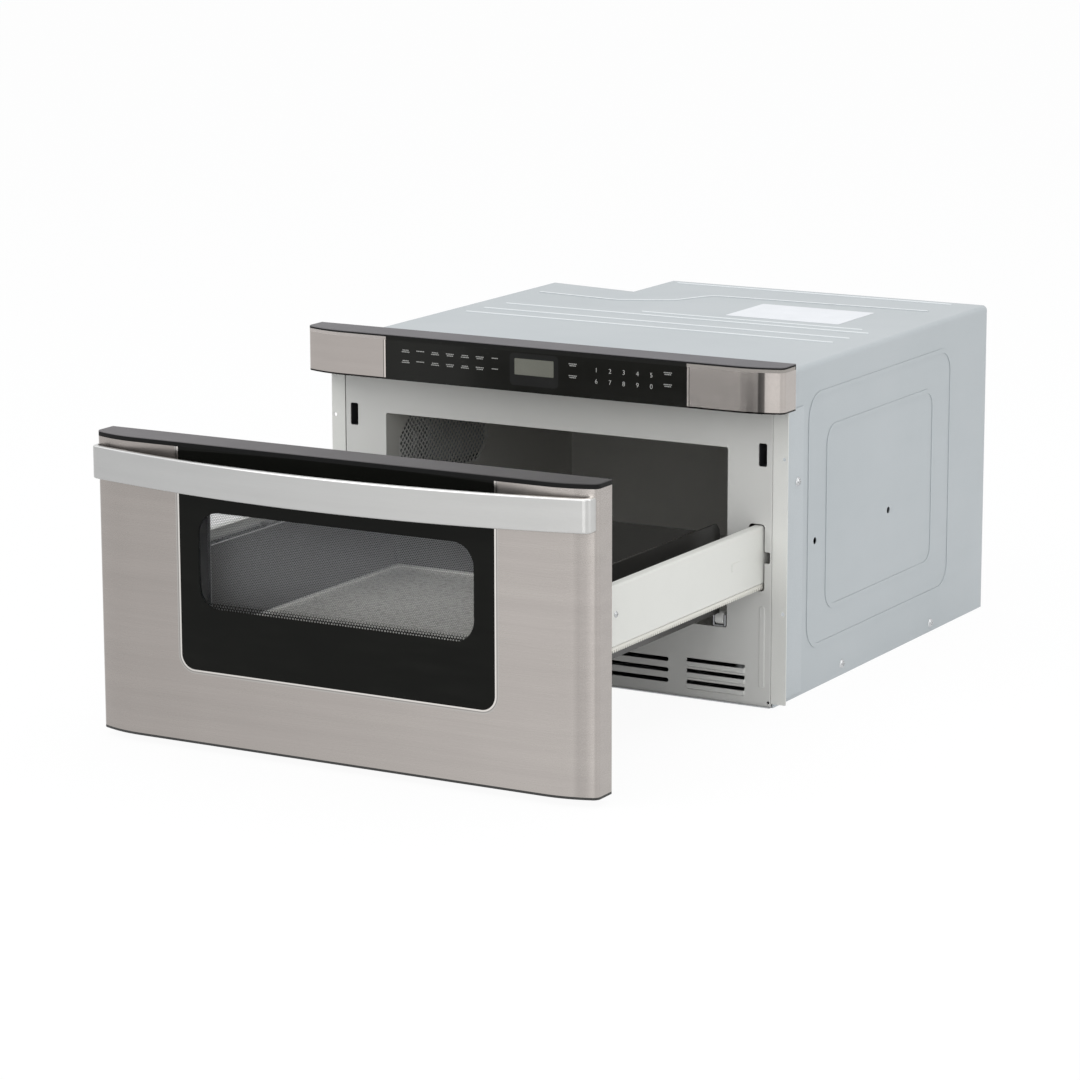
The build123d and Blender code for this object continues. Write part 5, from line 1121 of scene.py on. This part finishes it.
def makeTopLabel():
    # paper sticker on the case
    base = caseTop - topLabel["under"]
    low = Vector((topLabel["x"][0], topLabel["y"][0], base))
    high = Vector((topLabel["x"][1], topLabel["y"][1], base + topLabel["thick"]))
    block = roundedBlock(low, high, 2, topLabel["corner"], 3)
    piece = makePiece("topSticker", block, "stickerPaper", "cabinet")


makeTopLabel()

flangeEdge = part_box("mounting_flanges")[1].x
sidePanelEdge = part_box("side_panel_right")[1].x
caseScrews = {
    "flange": (0.0554, 0.2454),      # Y and Z of the one in the flange's leg
    "case": [(0.1765, 0.0132), (0.4213, 0.0109)],
    "legSkin": 0.0147,               # the leg lies this far inside the flange's edge
    "wallSkin": 0.0159,              # and the case wall this far
    "radius": 0.0052,
    "height": 0.0028,
    "panel": (-0.3367, 0.1734),      # Y and Z of the ones in the drawer's side panels
    "panelRadius": 0.0036,
    "panelHeight": 0.0016,
    "cross": (1.1, 0.22),            # length and width of the cross's bars, in radii
    "crossThick": 0.12,              # their thickness and level, in heights
    "crossLevel": 0.97,
}


def screwHead(radius, height):
    # domed head with a cross on top, its seat at Z = 0
    bm = bmesh.new()
    bmesh.ops.create_uvsphere(bm, u_segments=24, v_segments=12, radius=radius)
    cutAway(bm, (0, 0, 0), (0, 0, -1))
    bmesh.ops.scale(bm, vec=(1, 1, height / radius), verts=bm.verts)
    rim = [edge for edge in bm.edges if edge.is_boundary]
    bmesh.ops.contextual_create(bm, geom=rim)
    long, wide = caseScrews["cross"]
    bar = (radius * long, radius * wide, height * caseScrews["crossThick"])
    for turn in (0, 90):
        made = bmesh.ops.create_cube(bm, size=1.0)["verts"]
        bmesh.ops.scale(bm, vec=bar, verts=made)
        bmesh.ops.translate(bm, vec=(0, 0, height * caseScrews["crossLevel"]), verts=made)
        turned = Matrix.Rotation(math.radians(turn), 3, "Z")
        bmesh.ops.rotate(bm, cent=(0, 0, 0), matrix=turned, verts=made)
    bmesh.ops.recalc_face_normals(bm, faces=bm.faces)
    mesh = bpy.data.meshes.new("screwHead")
    bm.to_mesh(mesh)
    bm.free()
    return mesh


def placeCopies(mesh, places):
    # one bmesh with a copy of the mesh at each place, its Z turned outward
    bm = bmesh.new()
    for place, outward in places:
        turned = Vector(outward).to_track_quat("Z", "Y").to_matrix().to_4x4()
        copy = mesh.copy()
        copy.transform(Matrix.Translation(place) @ turned)
        bm.from_mesh(copy)
        bpy.data.meshes.remove(copy)
    bpy.data.meshes.remove(mesh)
    return bm


def makeScrews():
    casePlaces = []
    panelPlaces = []
    for side in (-1, 1):
        outward = (side, 0, 0)
        casePlaces.append(((side * (flangeEdge - caseScrews["legSkin"]), *caseScrews["flange"]), outward))
        for place in caseScrews["case"]:
            casePlaces.append(((side * (flangeEdge - caseScrews["wallSkin"]), *place), outward))
        panelPlaces.append(((side * sidePanelEdge, *caseScrews["panel"]), outward))
    bm = placeCopies(screwHead(caseScrews["radius"], caseScrews["height"]), casePlaces)
    piece = makePiece("caseScrews", bm, "railZinc", "cabinet", True)
    bm = placeCopies(screwHead(caseScrews["panelRadius"], caseScrews["panelHeight"]), panelPlaces)
    piece = makePiece("panelScrews", bm, "railZinc", "drawer", True)


makeScrews()

panelMark = {"y": (-0.0755, -0.0565), "z": (0.1665, 0.1755), "lift": 0.0005, "corner": 0.001}


def makePanelMarks():
    # small raised oblong pressed in each side panel of the drawer
    for name, side in (("panelMarkLeft", -1), ("panelMarkRight", 1)):
        inner = side * (sidePanelEdge - panelMark["lift"])
        outer = side * (sidePanelEdge + panelMark["lift"])
        low = Vector((min(inner, outer), panelMark["y"][0], panelMark["z"][0]))
        high = Vector((max(inner, outer), panelMark["y"][1], panelMark["z"][1]))
        block = roundedBlock(low, high, 0, panelMark["corner"], 3)
        piece = makePiece(name, block, "panelPaint", "drawer")


makePanelMarks()
print("case fittings made")
